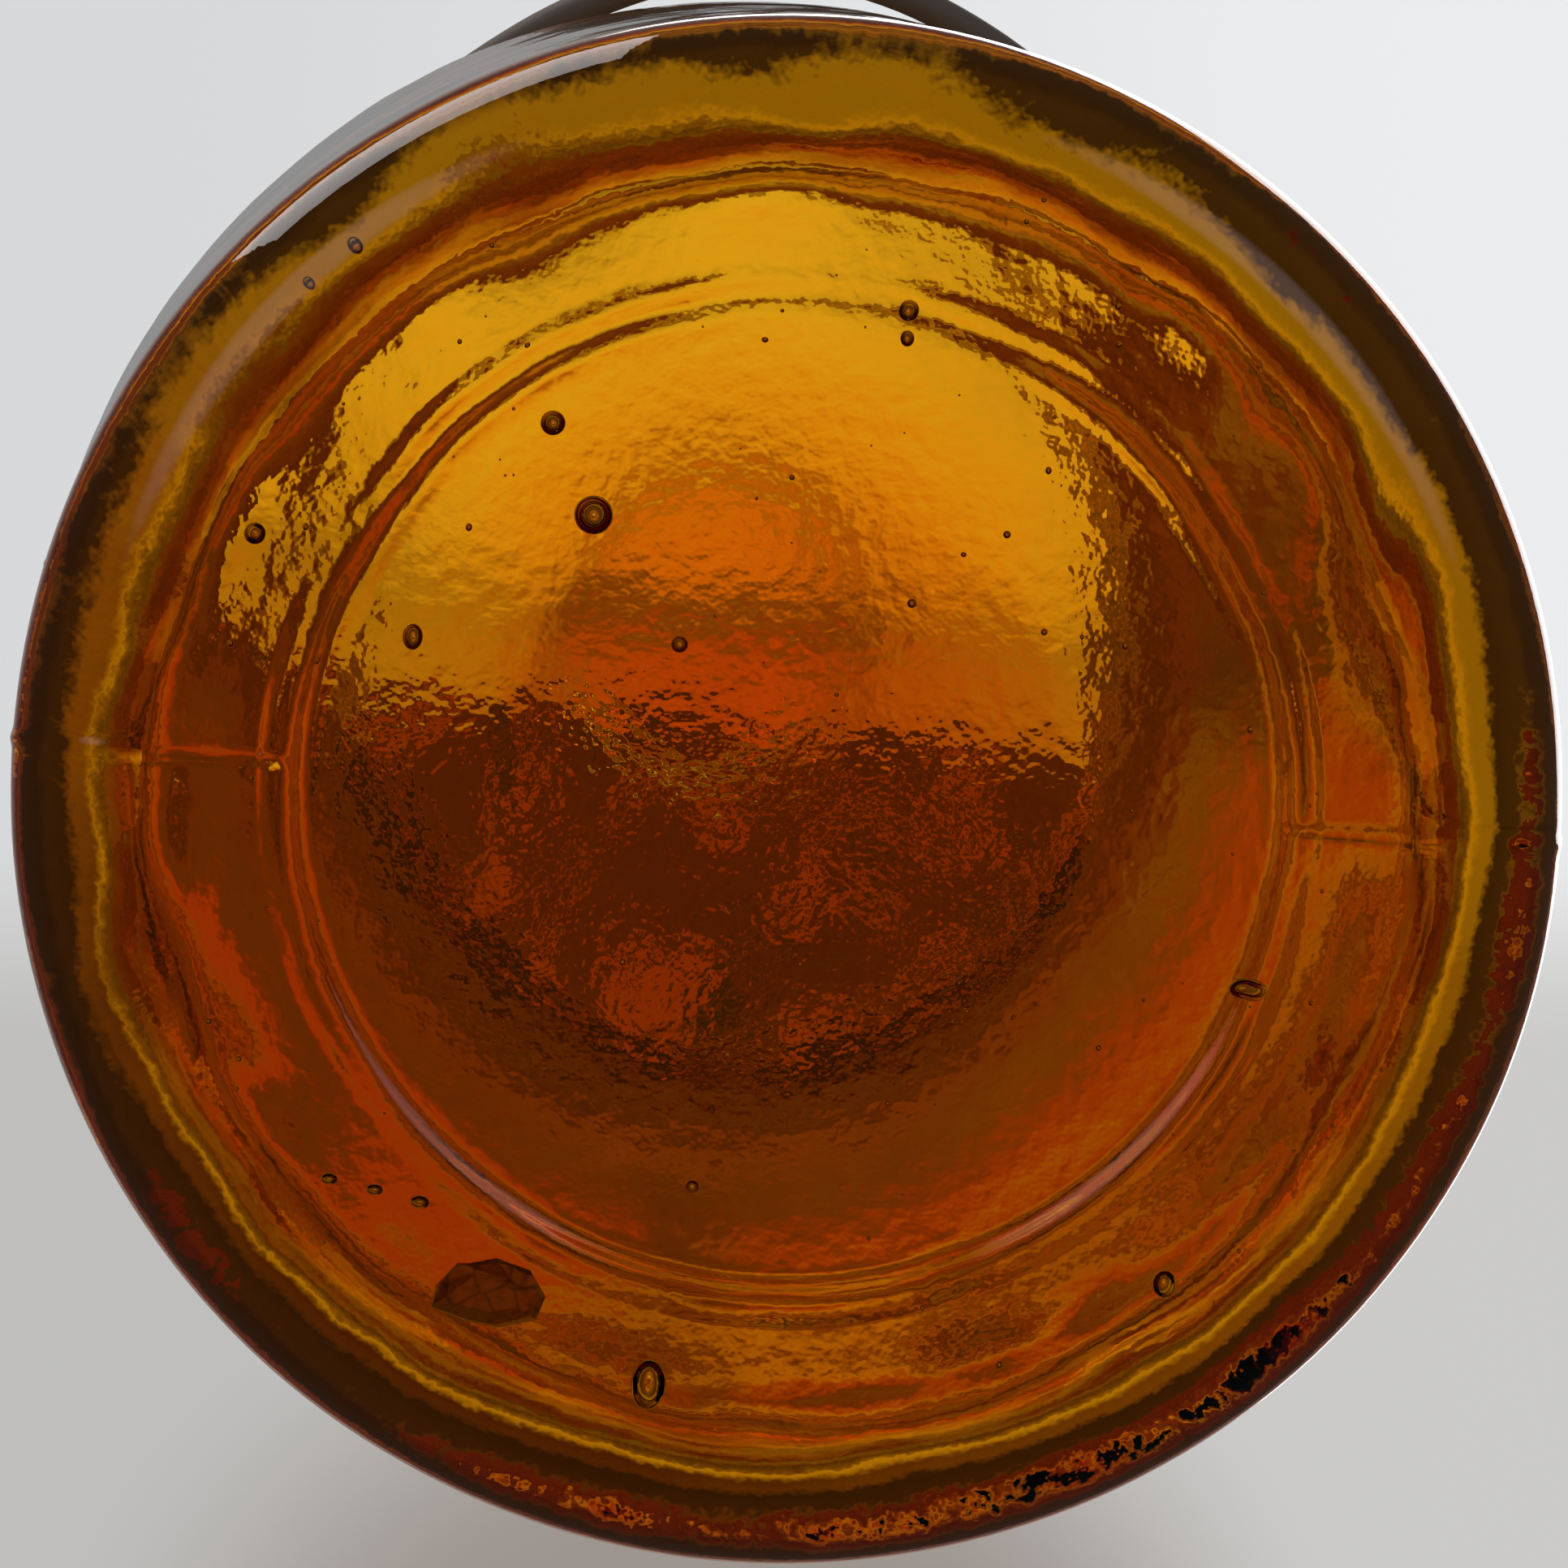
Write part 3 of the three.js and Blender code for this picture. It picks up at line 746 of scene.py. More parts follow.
def joined(name, *meshes):
    """One mesh out of several."""
    holders = []
    for mesh in meshes:
        holder = bpy.data.objects.new(name, mesh)
        bpy.context.scene.collection.objects.link(holder)
        holders.append(holder)
    chosen = {"active_object": holders[0], "object": holders[0]}
    with bpy.context.temp_override(**chosen, selected_editable_objects=holders, selected_objects=holders):
        bpy.ops.object.join()
    mesh = holders[0].data
    bpy.data.objects.remove(holders[0])
    mesh.name = name
    return mesh


def lid_profile():
    """Outline of the lid, from the boss's centre over the dome and flange to the hollow underside."""
    flange_top = LID_BOTTOM + FLANGE_THICKNESS
    dome_r = LID_R - FLANGE_CORNER
    dome_foot = (DOME_TOP - flange_top) * 0.35
    dome = arc((0, flange_top + dome_foot), (dome_r * 0.88, DOME_TOP - flange_top - dome_foot), 64, 8)
    top = [
        (0, BOSS_TOP),
        *arc((BOSS_R - BOSS_ROUNDING * 1.3, BOSS_TOP - BOSS_ROUNDING), BOSS_ROUNDING, 90, 0),
        (BOSS_R, DOME_TOP),
        *dome,
        (dome_r * 0.93, flange_top + dome_foot * 0.3),
        *arc((dome_r, flange_top - FLANGE_CORNER), FLANGE_CORNER, 90, 0),
        (LID_R, LID_BOTTOM + FLANGE_CORNER / 2),
        (LID_R - FLANGE_CORNER / 2, LID_BOTTOM),
    ]
    under = [
        (HOLLOW_R, LID_BOTTOM),
        (HOLLOW_R, HOLLOW_TOP - HOLLOW_CORNER),
        (HOLLOW_R - HOLLOW_CORNER, HOLLOW_TOP),
        (HOLLOW_R / 2, HOLLOW_TOP + HOLLOW_RISE * 0.75),
        (0, HOLLOW_TOP + HOLLOW_RISE),
    ]
    return list(reversed(under)), list(reversed(top))


def notch_height(y):
    """Height of the boss's notch at a distance from its middle."""
    bottom_r = BAIL_WIRE_R + SEAT_GAP
    across = abs(y)
    edge = bottom_r * math.cos(NOTCH_FLARE)
    if across < edge:
        return CROSS_WIRE_Z - math.sqrt(bottom_r * bottom_r - across * across)
    return CROSS_WIRE_Z - bottom_r * math.sin(NOTCH_FLARE) + (across - edge) / math.tan(NOTCH_FLARE)


def soft_min(a, b, softness):
    """The lower of two heights, with a fillet where they cross."""
    lower = min(a, b)
    return lower - softness * math.log(1 + math.exp(-abs(a - b) / softness))


def lid_mesh():
    """The lid, turned from its profile, with its notch and slight waves."""
    under, top = lid_profile()
    smooth_under = softened(resampled(under, PROFILE_STEP), 4)
    smooth_top = softened(resampled([under[-1], *top], PROFILE_STEP), 16)

    def spacing(radius, height):
        return 0.35 if radius < BOSS_R + 2 and height > DOME_TOP - 2 else 0.75

    lower = thinned(smooth_under, spacing)
    upper = thinned(smooth_top, spacing)[1:]
    rim = len(lower)

    def shape(index, angle, r, z, normal):
        x, y = r * math.cos(angle), r * math.sin(angle)
        push = -0.05 - 0.05 * wave(x, y, z, 5, 3.3) - 0.03 * wave(x, y, z, 1.8, 8.1)
        radius, height = r + normal[0] * push, z + normal[1] * push
        if index >= rim and r < BOSS_R + 3:
            height = soft_min(height, notch_height(radius * math.sin(angle)), 0.12)
        return radius, height

    angles = [2 * math.pi * i / LID_ANGLES for i in range(LID_ANGLES)]
    mesh = turned_mesh("lid_glass", lower + upper, angles, shape)
    mark_inside(mesh, 0, 1 + (rim - 1) * len(angles))
    return mesh


def rubber_ring_mesh(rubber):
    """The ring with crumbled edges, which keeps inside the size of a new one."""
    low, high = RING_BOX[0].z / MM, RING_BOX[1].z / MM
    inner, outer = RING_INNER_R, RING_BOX[1].x / MM
    wear = rubber.wear / MM
    corner = RING_CORNER
    outline = [
        (inner + corner, low),
        (outer - corner, low),
        *arc((outer - corner, low + corner), corner, -90, 0, 4),
        *arc((outer - corner, high - corner), corner, 0, 90, 4),
        *arc((inner + corner, high - corner), corner, 90, 180, 4),
        *arc((inner + corner, low + corner), corner, 180, 270, 4),
    ]
    section = resampled(outline, 0.4)
    middle = (inner + outer) / 2
    count, around = RING_ANGLES, len(section)
    vertices, faces = [], []
    for k in range(count):
        angle = 2 * math.pi * k / count
        x, y, _ = on_circle(RING_PATTERN_R, angle, 0)
        for r, z in section:
            share = (r - middle) / (outer - middle)
            torn = 0.5 + 0.5 * wave(x, y, z * 2, 3.2, 5.5 + 3 * (share > 0))
            crumbs = 0.3 + 0.3 * wave(x, y, z * 3, 0.9, 2.2)
            bite = wear * max(0.0, torn + crumbs * 0.5) * abs(share) ** 6
            sag = 0.1 * (0.5 + 0.5 * wave(x, y, r, 6, 1.1))
            height = z - sag if z > (low + high) / 2 else z
            vertices.append(on_circle(r - math.copysign(bite, share), angle, height) * MM)
    for k in range(count):
        following = (k + 1) % count
        for i in range(around):
            j = (i + 1) % around
            faces.append((k * around + i, following * around + i, following * around + j, k * around + j))
    mesh = mesh_of("rubber_seal", vertices, faces)
    mesh.shade_smooth()
    return mesh


def smooth_route(points, per_span=6):
    """Points along the centripetal curve through a wire's bends."""
    ends = [points[0] * 2 - points[1], *points, points[-1] * 2 - points[-2]]
    route = []
    for p0, p1, p2, p3 in zip(ends, ends[1:], ends[2:], ends[3:]):
        d0, d1, d2 = (max((b - a).length ** 0.5, 1e-3) for a, b in ((p0, p1), (p1, p2), (p2, p3)))
        m1 = ((p1 - p0) / d0 - (p2 - p0) / (d0 + d1) + (p2 - p1) / d1) * d1
        m2 = ((p2 - p1) / d1 - (p3 - p1) / (d1 + d2) + (p3 - p2) / d2) * d1
        for i in range(per_span):
            t = i / per_span
            c2 = -3 * p1 + 3 * p2 - 2 * m1 - m2
            c3 = 2 * p1 - 2 * p2 + m1 + m2
            route.append(p1 + m1 * t + c2 * t * t + c3 * t * t * t)
    return [*route, points[-1]]


def mirrored(points):
    """The same points on the other side of the jar, in the opposite order."""
    return [Vector((-p.x, p.y, p.z)) for p in reversed(points)]


def on_neck(degrees):
    """A point of the neck wire's middle line where it lies round the neck."""
    return on_circle(NECK_WIRE_RING_R, math.radians(degrees), NECK_WIRE_Z)


def twist_strand(side):
    """One strand of the twist behind the neck, from its cut end in to the neck."""
    coil_r = NECK_WIRE_R + COIL_GAP / 2
    count = round(8 * TWIST_TURNS)
    points = []
    for i in range(count, -1, -1):
        turn = 2 * math.pi * TWIST_TURNS * i / count
        y = NECK_WIRE_RING_R + TWIST_START + TWIST_LENGTH * i / count
        z = NECK_WIRE_Z + side * coil_r * math.sin(turn)
        points.append(Vector((side * coil_r * math.cos(turn), y, z)))
    points.append(Vector((side * coil_r * 1.5, NECK_WIRE_RING_R + TWIST_START * 0.4, NECK_WIRE_Z)))
    return points


def neck_wire_route():
    """The neck wire, from the twist round both ears and back."""
    half = [on_neck(degrees) for degrees in range(81, 0, -9)]
    steps = round(12 * EAR_TURNS)
    for i in range(steps + 1):
        turn = 2 * math.pi * EAR_TURNS * i / steps
        x = NECK_WIRE_RING_R + EAR_PITCH * EAR_TURNS * i / steps
        half.append(Vector((x, -EAR_COIL_R * math.sin(turn), LEVER_PIVOT_Z + EAR_COIL_R * math.cos(turn))))
    coil_x = NECK_WIRE_RING_R + EAR_PITCH * EAR_TURNS
    half.append(Vector((coil_x, -EAR_COIL_R, NECK_WIRE_Z)))
    half.append(on_neck(-14) + Vector((EAR_PITCH * EAR_TURNS / 2, 0, 0)))
    half += [on_neck(degrees) for degrees in range(-27, -90, -9)]
    front = Vector((0, -NECK_WIRE_RING_R, NECK_WIRE_Z))
    far_twist = list(reversed(twist_strand(-1)))
    return smooth_route([*twist_strand(1), *half, front, *mirrored(half), *far_twist])


def lever_route():
    """The lever, from one ear's pin round its eye and across the front to the other."""
    half = [
        Vector((NECK_R + NECK_WIRE_R, 0, LEVER_PIVOT_Z)),
        Vector((CRANK_X - 2 * LEVER_WIRE_R, 0, LEVER_PIVOT_Z)),
        Vector((CRANK_X - LEVER_WIRE_R / 2, 0, LEVER_PIVOT_Z - LEVER_WIRE_R / 3)),
    ]
    back_y = BAIL_PIVOT_Y + EYE_COIL_R
    for share in (0.2, 0.6):
        z = LEVER_PIVOT_Z + (BAIL_PIVOT_Z - LEVER_PIVOT_Z) * share
        half.append(Vector((CRANK_X, back_y * share, z)))
    steps = round(12 * EYE_TURNS)
    for i in range(steps + 1):
        turn = -2 * math.pi * EYE_TURNS * i / steps
        x = CRANK_X + EYE_PITCH * EYE_TURNS * i / steps
        y = BAIL_PIVOT_Y + EYE_COIL_R * math.cos(turn)
        half.append(Vector((x, y, BAIL_PIVOT_Z + EYE_COIL_R * math.sin(turn))))
    start = half[-1]
    front_y = LEVER_WIRE_R - LEVER_REACH
    steps = 10
    for i in range(1, steps + 1):
        t = i / steps
        a, b, c, d = (1 - t) ** 3, 3 * (1 - t) ** 2 * t, 3 * (1 - t) * t * t, t**3
        x = a * start.x + b * start.x + c * LEVER_FRONT_HANDLE
        y = a * start.y + b * (start.y - LEVER_SIDE_HANDLE) + (c + d) * front_y
        half.append(Vector((x, y, start.z - (start.y - y) * math.tan(LEVER_SLOPE))))
    return smooth_route([*half, *mirrored(half[:-1])])


def bail_route():
    """The bail, from one eye up, over the lid and down to the other."""
    lean = math.atan2(-BAIL_PIVOT_Y, CROSS_WIRE_Z - BAIL_PIVOT_Z)
    height = math.hypot(BAIL_PIVOT_Y, CROSS_WIRE_Z - BAIL_PIVOT_Z)
    shoulder_x = BAIL_SHOULDER_WIDTH / 2
    bends = [
        (CRANK_X - LEVER_WIRE_R, 0),
        (BAIL_X - 2 * BAIL_WIRE_R, 0),
        (BAIL_X - BAIL_WIRE_R / 2, BAIL_WIRE_R / 3),
        (BAIL_X, 2 * BAIL_WIRE_R),
        (BAIL_X, BAIL_LEG / 2),
        (BAIL_X, BAIL_LEG),
        ((BAIL_X + shoulder_x) / 2 + 1, BAIL_LEG + (height - BAIL_LEG) * 0.45),
        (shoulder_x, BAIL_LEG + (height - BAIL_LEG) * 0.78),
        (shoulder_x - 7, height - 0.6),
        (shoulder_x * 0.55, height + BAIL_ARCH_RISE),
        (BOSS_R, height),
    ]
    half = [
        Vector((x, BAIL_PIVOT_Y + h * math.sin(lean), BAIL_PIVOT_Z + h * math.cos(lean))) for x, h in bends
    ]
    top = Vector((0, BAIL_PIVOT_Y + height * math.sin(lean), BAIL_PIVOT_Z + height * math.cos(lean)))
    return smooth_route([*half, top, *mirrored(half)])


def wire_tree():
    """Node tree that sweeps a dented round wire along a line of points."""
    tree, given = new_tree(
        "Bent wire",
        ("Radius", "NodeSocketFloat"),
        ("Sides", "NodeSocketInt"),
        ("Dents", "NodeSocketFloat"),
        ("Dent Size", "NodeSocketFloat"),
        ("Material", "NodeSocketMaterial"),
    )
    line = add_node(tree, "GeometryNodeMeshToCurve", {"Mesh": given["Geometry"]})
    circle = {"Radius": given["Radius"], "Resolution": given["Sides"]}
    section = add_node(tree, "GeometryNodeCurvePrimitiveCircle", circle)
    swept = {"Curve": line.outputs["Curve"], "Profile Curve": section.outputs["Curve"], "Fill Caps": True}
    sweep = add_node(tree, "GeometryNodeCurveToMesh", swept)
    smooth = add_node(tree, "GeometryNodeSetShadeSmooth", {"Geometry": sweep.outputs["Mesh"]})
    place = add_node(tree, "GeometryNodeInputPosition")
    size = add_node(tree, "ShaderNodeCombineXYZ", {axis: given["Dent Size"] for axis in "XYZ"})
    ratio = {0: place.outputs["Position"], 1: size.outputs["Vector"]}
    scaled = add_node(tree, "ShaderNodeVectorMath", ratio, operation="DIVIDE")
    texture = {"Vector": scaled.outputs["Vector"], "Scale": 1.0, "Detail": 2.0}
    dents = add_node(tree, "ShaderNodeTexNoise", texture)
    depth = calculated(tree, "MULTIPLY", dents.outputs["Fac"], given["Dents"])
    normal = add_node(tree, "GeometryNodeInputNormal")
    push = {0: normal.outputs["Normal"], "Scale": calculated(tree, "MULTIPLY", depth, -1.0)}
    inward = add_node(tree, "ShaderNodeVectorMath", push, operation="SCALE")
    moved = {"Geometry": smooth.outputs["Geometry"], "Offset": inward.outputs["Vector"]}
    move = add_node(tree, "GeometryNodeSetPosition", moved)
    finish_tree(tree, move.outputs["Geometry"], given["Material"])
    return tree


def wire_mesh(name, route, radius_mm, wire, material):
    """A dented round wire along a route."""
    line = bpy.data.meshes.new(name + "_line")
    line.from_pydata([point * MM for point in route], [(i, i + 1) for i in range(len(route) - 1)], [])
    tree = bpy.data.node_groups.get("Bent wire") or wire_tree()
    values = {
        "Radius": radius_mm * MM,
        "Sides": wire.sides,
        "Dents": wire.dents,
        "Dent Size": DENT_SIZE * MM,
        "Material": material,
    }
    return grown(name, line, tree, values)


def stone_mesh():
    """A flake of unmelted sand in the glass: a flat, many-sided chip."""
    chance = random.Random(5)
    corners = 9
    ring = []
    for i in range(corners):
        angle = 2 * math.pi * i / corners
        reach = 0.5 * (0.78 + 0.3 * chance.random())
        ring.append((math.cos(angle) * reach * STONE_SIZE[0], math.sin(angle) * reach * STONE_SIZE[1]))
    centre = base_point(*STONE_PLACE, 5.6)
    levels = ((-0.5, 0.55), (-0.2, 0.95), (0.15, 1.0), (0.5, 0.6))
    vertices = []
    for level, share in levels:
        for x, y in ring:
            jitter = 0.16 * chance.uniform(-1, 1)
            place = VIEW_RIGHT * (x * share + jitter) + VIEW_UP * (y * share - jitter)
            vertices.append((centre + place + Vector((0, 0, level * STONE_SIZE[2] + jitter))) * MM)
    faces = [tuple(range(corners - 1, -1, -1)), tuple(range(3 * corners, 4 * corners))]
    for level in range(len(levels) - 1):
        for i in range(corners):
            j = (i + 1) % corners
            a, b = level * corners, (level + 1) * corners
            faces.append((a + i, a + j, b + j, b + i))
    return mesh_of("sand_stone", vertices, faces)


def new_material(name):
    """A material with a Principled BSDF and an output, and its node tree."""
    material = bpy.data.materials.new(name)
    material.use_nodes = True
    tree = material.node_tree
    tree.nodes.clear()
    shader = add_node(tree, "ShaderNodeBsdfPrincipled")
    output = add_node(tree, "ShaderNodeOutputMaterial", {"Surface": shader.outputs["BSDF"]})
    return material, tree, shader, output


def patches_group():
    """Shader group: soft uneven patches, for rust, bloom and haze."""
    found = bpy.data.node_groups.get("Patches")
    if found:
        return found
    group = bpy.data.node_groups.new("Patches", "ShaderNodeTree")
    group.interface.new_socket("Vector", in_out="INPUT", socket_type="NodeSocketVector")
    for label, value in (("Size per Metre", 300.0), ("Coverage", 0.5), ("Softness", 0.1)):
        socket = group.interface.new_socket(label, in_out="INPUT", socket_type="NodeSocketFloat")
        socket.default_value = value
    for label in ("Mask", "Height"):
        group.interface.new_socket(label, in_out="OUTPUT", socket_type="NodeSocketFloat")
    given = add_node(group, "NodeGroupInput").outputs
    texture = {"Vector": given["Vector"], "Scale": given["Size per Metre"], "Detail": 6.0, "Roughness": 0.62}
    cloud = add_node(group, "ShaderNodeTexNoise", texture).outputs["Fac"]
    low = calculated(group, "SUBTRACT", 1.0, given["Coverage"])
    high = calculated(group, "ADD", low, given["Softness"])
    add_node(group, "NodeGroupOutput", {"Mask": stepped(group, cloud, low, high), "Height": cloud})
    return group


def patches(tree, size_per_metre, coverage, softness):
    """The outputs of the patches group, placed in a tree on Object coordinates."""
    inputs = {
        "Vector": object_place(tree),
        "Size per Metre": size_per_metre,
        "Coverage": coverage,
        "Softness": softness,
    }
    return add_node(tree, "ShaderNodeGroup", inputs, node_tree=patches_group()).outputs


def mixed(tree, mask, low, high):
    """A colour that goes from low to high with a mask. Each may be a colour or an output."""
    inputs = {"Factor": mask}
    for key, value in (("A", low), ("B", high)):
        inputs[key] = value if isinstance(value, bpy.types.NodeSocket) else (*value, 1.0)
    return add_node(tree, "ShaderNodeMix", inputs, data_type="RGBA").outputs["Result"]


def blended(tree, mask, low, high):
    """A value that goes from one output's to another's with a mask."""
    return add_node(tree, "ShaderNodeMix", {"Factor": mask, "A": low, "B": high}).outputs["Result"]


def ranged(tree, mask, low, high):
    """A value that goes from low to high with a mask."""
    inputs = {"Value": mask, "To Min": low, "To Max": high}
    return add_node(tree, "ShaderNodeMapRange", inputs).outputs["Result"]


def stepped(tree, value, start, end):
    """A mask that rises smoothly from 0 at the start to 1 at the end."""
    inputs = {"Value": value, "From Min": start, "From Max": end}
    return add_node(tree, "ShaderNodeMapRange", inputs, interpolation_type="SMOOTHSTEP").outputs["Result"]


def graded(tree, value, start, end, stops):
    """A colour from a list of (share, colour) stops between two values."""
    share = add_node(tree, "ShaderNodeMapRange", {"Value": value, "From Min": start, "From Max": end})
    ramp = add_node(tree, "ShaderNodeValToRGB", {"Fac": share.outputs["Result"]})
    while len(ramp.color_ramp.elements) < len(stops):
        ramp.color_ramp.elements.new(0.5)
    for element, (position, colour) in zip(ramp.color_ramp.elements, stops):
        element.position = position
        element.color = (*colour, 1.0)
    return ramp.outputs["Color"]


def object_place(tree):
    """A point's place on the object."""
    return add_node(tree, "ShaderNodeTexCoord").outputs["Object"]


def along(tree, vector, direction):
    """How far a position or a direction goes along another direction."""
    inputs = {0: vector, 1: direction}
    return add_node(tree, "ShaderNodeVectorMath", inputs, operation="DOT_PRODUCT").outputs["Value"]


def distance_from(tree, vector, centre):
    """How far a position lies from a centre."""
    inputs = {0: vector, 1: centre}
    return add_node(tree, "ShaderNodeVectorMath", inputs, operation="DISTANCE").outputs["Value"]


def ragged(tree, value, size_per_metre, reach):
    """A value that uneven patches raise by about the reach, somewhat more or less from place to place."""
    rough = patches(tree, size_per_metre, 0.5, 0.1)["Height"]
    return calculated(tree, "MULTIPLY_ADD", rough, reach * 2, value)


def cracked(tree, cells_per_metre, width):
    """A mask that is 0 on the thin lines between uneven cells."""
    inputs = {"Vector": object_place(tree), "Scale": cells_per_metre}
    cells = add_node(tree, "ShaderNodeTexVoronoi", inputs, feature="DISTANCE_TO_EDGE").outputs["Distance"]
    return add_node(tree, "ShaderNodeMapRange", {"Value": cells, "From Max": width}).outputs["Result"]


def bumped(tree, shader, height, strength, distance):
    """Gives a shader the relief of a height."""
    bump = add_node(tree, "ShaderNodeBump", {"Height": height, "Strength": strength, "Distance": distance})
    tree.links.new(bump.outputs["Normal"], shader.inputs["Normal"])


def lid_bloom(tree):
    """Roughness under the lid, which has dulled, more so in front of a dried edge."""
    spots = patches(tree, 300.0, 0.5, 0.2)["Mask"]
    front = along(tree, object_place(tree), (0, -1, 0))
    edge = stepped(tree, ragged(tree, front, 420.0, 0.0008), *BLOOM_EDGE)
    return blended(tree, edge, ranged(tree, spots, *LID_STAINED), ranged(tree, spots, *LID_DULL))


def jar_bloom(tree):
    """Roughness inside the jar, which has dulled from the shoulder up."""
    height = along(tree, object_place(tree), (0, 0, 1))
    return graded(tree, height, 0.1, 0.2, greys(BLOOMED_SHOULDER))


def wrinkled(tree, shader, inside):
    """Fine ripples all over, and stronger wrinkles on the floor inside."""
    floor = stepped(tree, along(tree, object_place(tree), (0, 0, -1)), -0.016, -0.014)
    strength = ranged(tree, calculated(tree, "MULTIPLY", floor, inside), 0.08, FLOOR_WRINKLES)
    texture = {"Vector": object_place(tree), "Scale": WRINKLES_PER_METRE, "Detail": 2.0}
    wrinkles = add_node(tree, "ShaderNodeTexNoise", texture).outputs["Fac"]
    bumped(tree, shader, wrinkles, strength, 0.0001)


def painted_shade(tree, inside):
    """Where painted shade darkens the glass: inside the neck, and outside round the heel."""
    place = object_place(tree)
    height = ragged(tree, along(tree, place, (0, 0, 1)), 300.0, 0.006)
    from_centre = ragged(tree, distance_from(tree, place, Vector()), 400.0, 0.0006)
    neck = graded(tree, height, 0.16, 0.21, greys(SHADED_NECK))
    heel = graded(tree, from_centre, 0.047, 0.052, greys(SHADED_HEEL))
    return blended(tree, inside, heel, neck)


def glass_material(name, glass, density, bloom):
    """Amber glass, coloured by its depth, with faint haze, ripples, painted shade, and bloom inside.

    bloom(tree) gives the roughness where the mesh is marked as inside."""
    material, tree, shader, output = new_material(name)
    striae = patches(tree, 260.0, 0.5, 0.4)["Mask"]
    haze = patches(tree, 90.0, 0.47, 0.2)["Mask"]
    inside = add_node(tree, "ShaderNodeAttribute", attribute_name="inside").outputs["Fac"]
    clean = mixed(tree, striae, (1.0, 0.99, 0.96), (1.0, 0.96, 0.88))
    surface = {
        # Painted shade: the glass's colour darkens inside the neck and round the heel
        "Base Color": mixed(tree, painted_shade(tree, inside), clean, (0.16, 0.07, 0.03)),
        "Roughness": blended(tree, inside, ranged(tree, haze, 0.0, 0.05), bloom(tree)),
        "IOR": GLASS_IOR,
        "Transmission Weight": 1.0,
    }
    set_inputs(tree, shader, surface)
    wrinkled(tree, shader, inside)
    depth = add_node(tree, "ShaderNodeVolumeAbsorption", {"Color": (*glass.colour, 1.0), "Density": density})
    tree.links.new(depth.outputs["Volume"], output.inputs["Volume"])
    return material


def iron_material(wire):
    """Dark drawn iron with rust in patches and pits."""
    found = bpy.data.materials.get("aged_iron")
    if found:
        return found
    material, tree, shader, _ = new_material("aged_iron")
    rust = patches(tree, 420.0, 0.52, 0.12)["Mask"]
    tone = patches(tree, 1500.0, 0.5, 0.3)["Mask"]
    worn = mixed(tree, tone, wire.iron, [c * 1.9 for c in wire.iron])
    rusty = mixed(tree, tone, wire.rust, [c * 0.55 for c in wire.rust])
    surface = {
        "Base Color": mixed(tree, rust, worn, rusty),
        "Metallic": ranged(tree, rust, 0.6, 0.05),
        "Roughness": ranged(tree, rust, 0.42, 0.85),
        "Specular IOR Level": 0.3,
        "Specular Tint": (0.5, 0.42, 0.36, 1.0),
    }
    set_inputs(tree, shader, surface)
    bumped(tree, shader, patches(tree, 2600.0, 0.5, 0.2)["Height"], 0.6, 0.0003)
    return material


def rubber_material(rubber):
    """Dry rubber gone dark, with a pale bloom and fine cracks, which painted shade darkens."""
    material, tree, shader, _ = new_material("aged_rubber")
    bloom = patches(tree, 500.0, 0.45, 0.2)["Mask"]
    cracks = cracked(tree, 900.0, 0.12)
    whole = mixed(tree, bloom, rubber.colour, [c * 2.4 + 0.02 for c in rubber.colour])
    surface = {
        # Painted shade: the cracks are darker than the rubber
        "Base Color": mixed(tree, cracks, [c * 0.3 for c in rubber.colour], whole),
        "Roughness": ranged(tree, bloom, 0.7, 0.92),
    }
    set_inputs(tree, shader, surface)
    bumped(tree, shader, cracks, 0.7, 0.0003)
    return material


def stone_material():
    """Brown unmelted sand, half clear, with dark veins."""
    material, tree, shader, _ = new_material("sand_stone")
    grain = patches(tree, 1400.0, 0.5, 0.3)
    body = mixed(tree, grain["Mask"], (0.5, 0.28, 0.13), (0.72, 0.46, 0.24))
    surface = {
        "Base Color": mixed(tree, cracked(tree, 520.0, 0.1), (0.12, 0.05, 0.02), body),
        "Transmission Weight": 1.0,
        "Roughness": 0.25,
        "IOR": 1.45,
    }
    set_inputs(tree, shader, surface)
    bumped(tree, shader, grain["Height"], 0.5, 0.0004)
    return material


def add_jar_glass(settings):
    """The glass body with its bubbles, as one mesh."""
    material = glass_material("amber_glass", settings.glass, settings.glass.density, jar_bloom)
    points = bubble_points(settings.glass)
    count = len(LARGE_BUBBLES)
    tree = bubble_tree()
    large = bubbles_mesh(points[:count], 4, material, tree)
    small = bubbles_mesh(points[count:], 2, material, tree)
    body = glass_body_mesh(settings.glass)
    body.materials.append(material)
    mesh = joined("jar_glass", body, large, small)
    return add_piece("jar_glass", mesh, material, "glass_jar", "amber_glass", "jar")


def add_stone():
    """The flake of sand in the base."""
    return add_piece("sand_stone", stone_mesh(), stone_material(), "glass_jar", None)


def add_lid(settings):
    """The glass lid."""
    material = glass_material("amber_lid_glass", settings.glass, settings.glass.lid_density, lid_bloom)
    return add_piece("lid_glass", lid_mesh(), material, "lid", "amber_lid_glass", "lid")


def add_ring(settings):
    """The rubber ring."""
    mesh = rubber_ring_mesh(settings.rubber)
    material = rubber_material(settings.rubber)
    return add_piece("rubber_seal", mesh, material, "rubber_ring", "aged_rubber", "rubber_ring")


def add_wire(settings, name, route, radius_mm, body, node):
    """One of the iron wires."""
    material = iron_material(settings.wire)
    mesh = wire_mesh(name, route, radius_mm, settings.wire, material)
    return add_piece(name, mesh, None, body, "aged_iron", node)


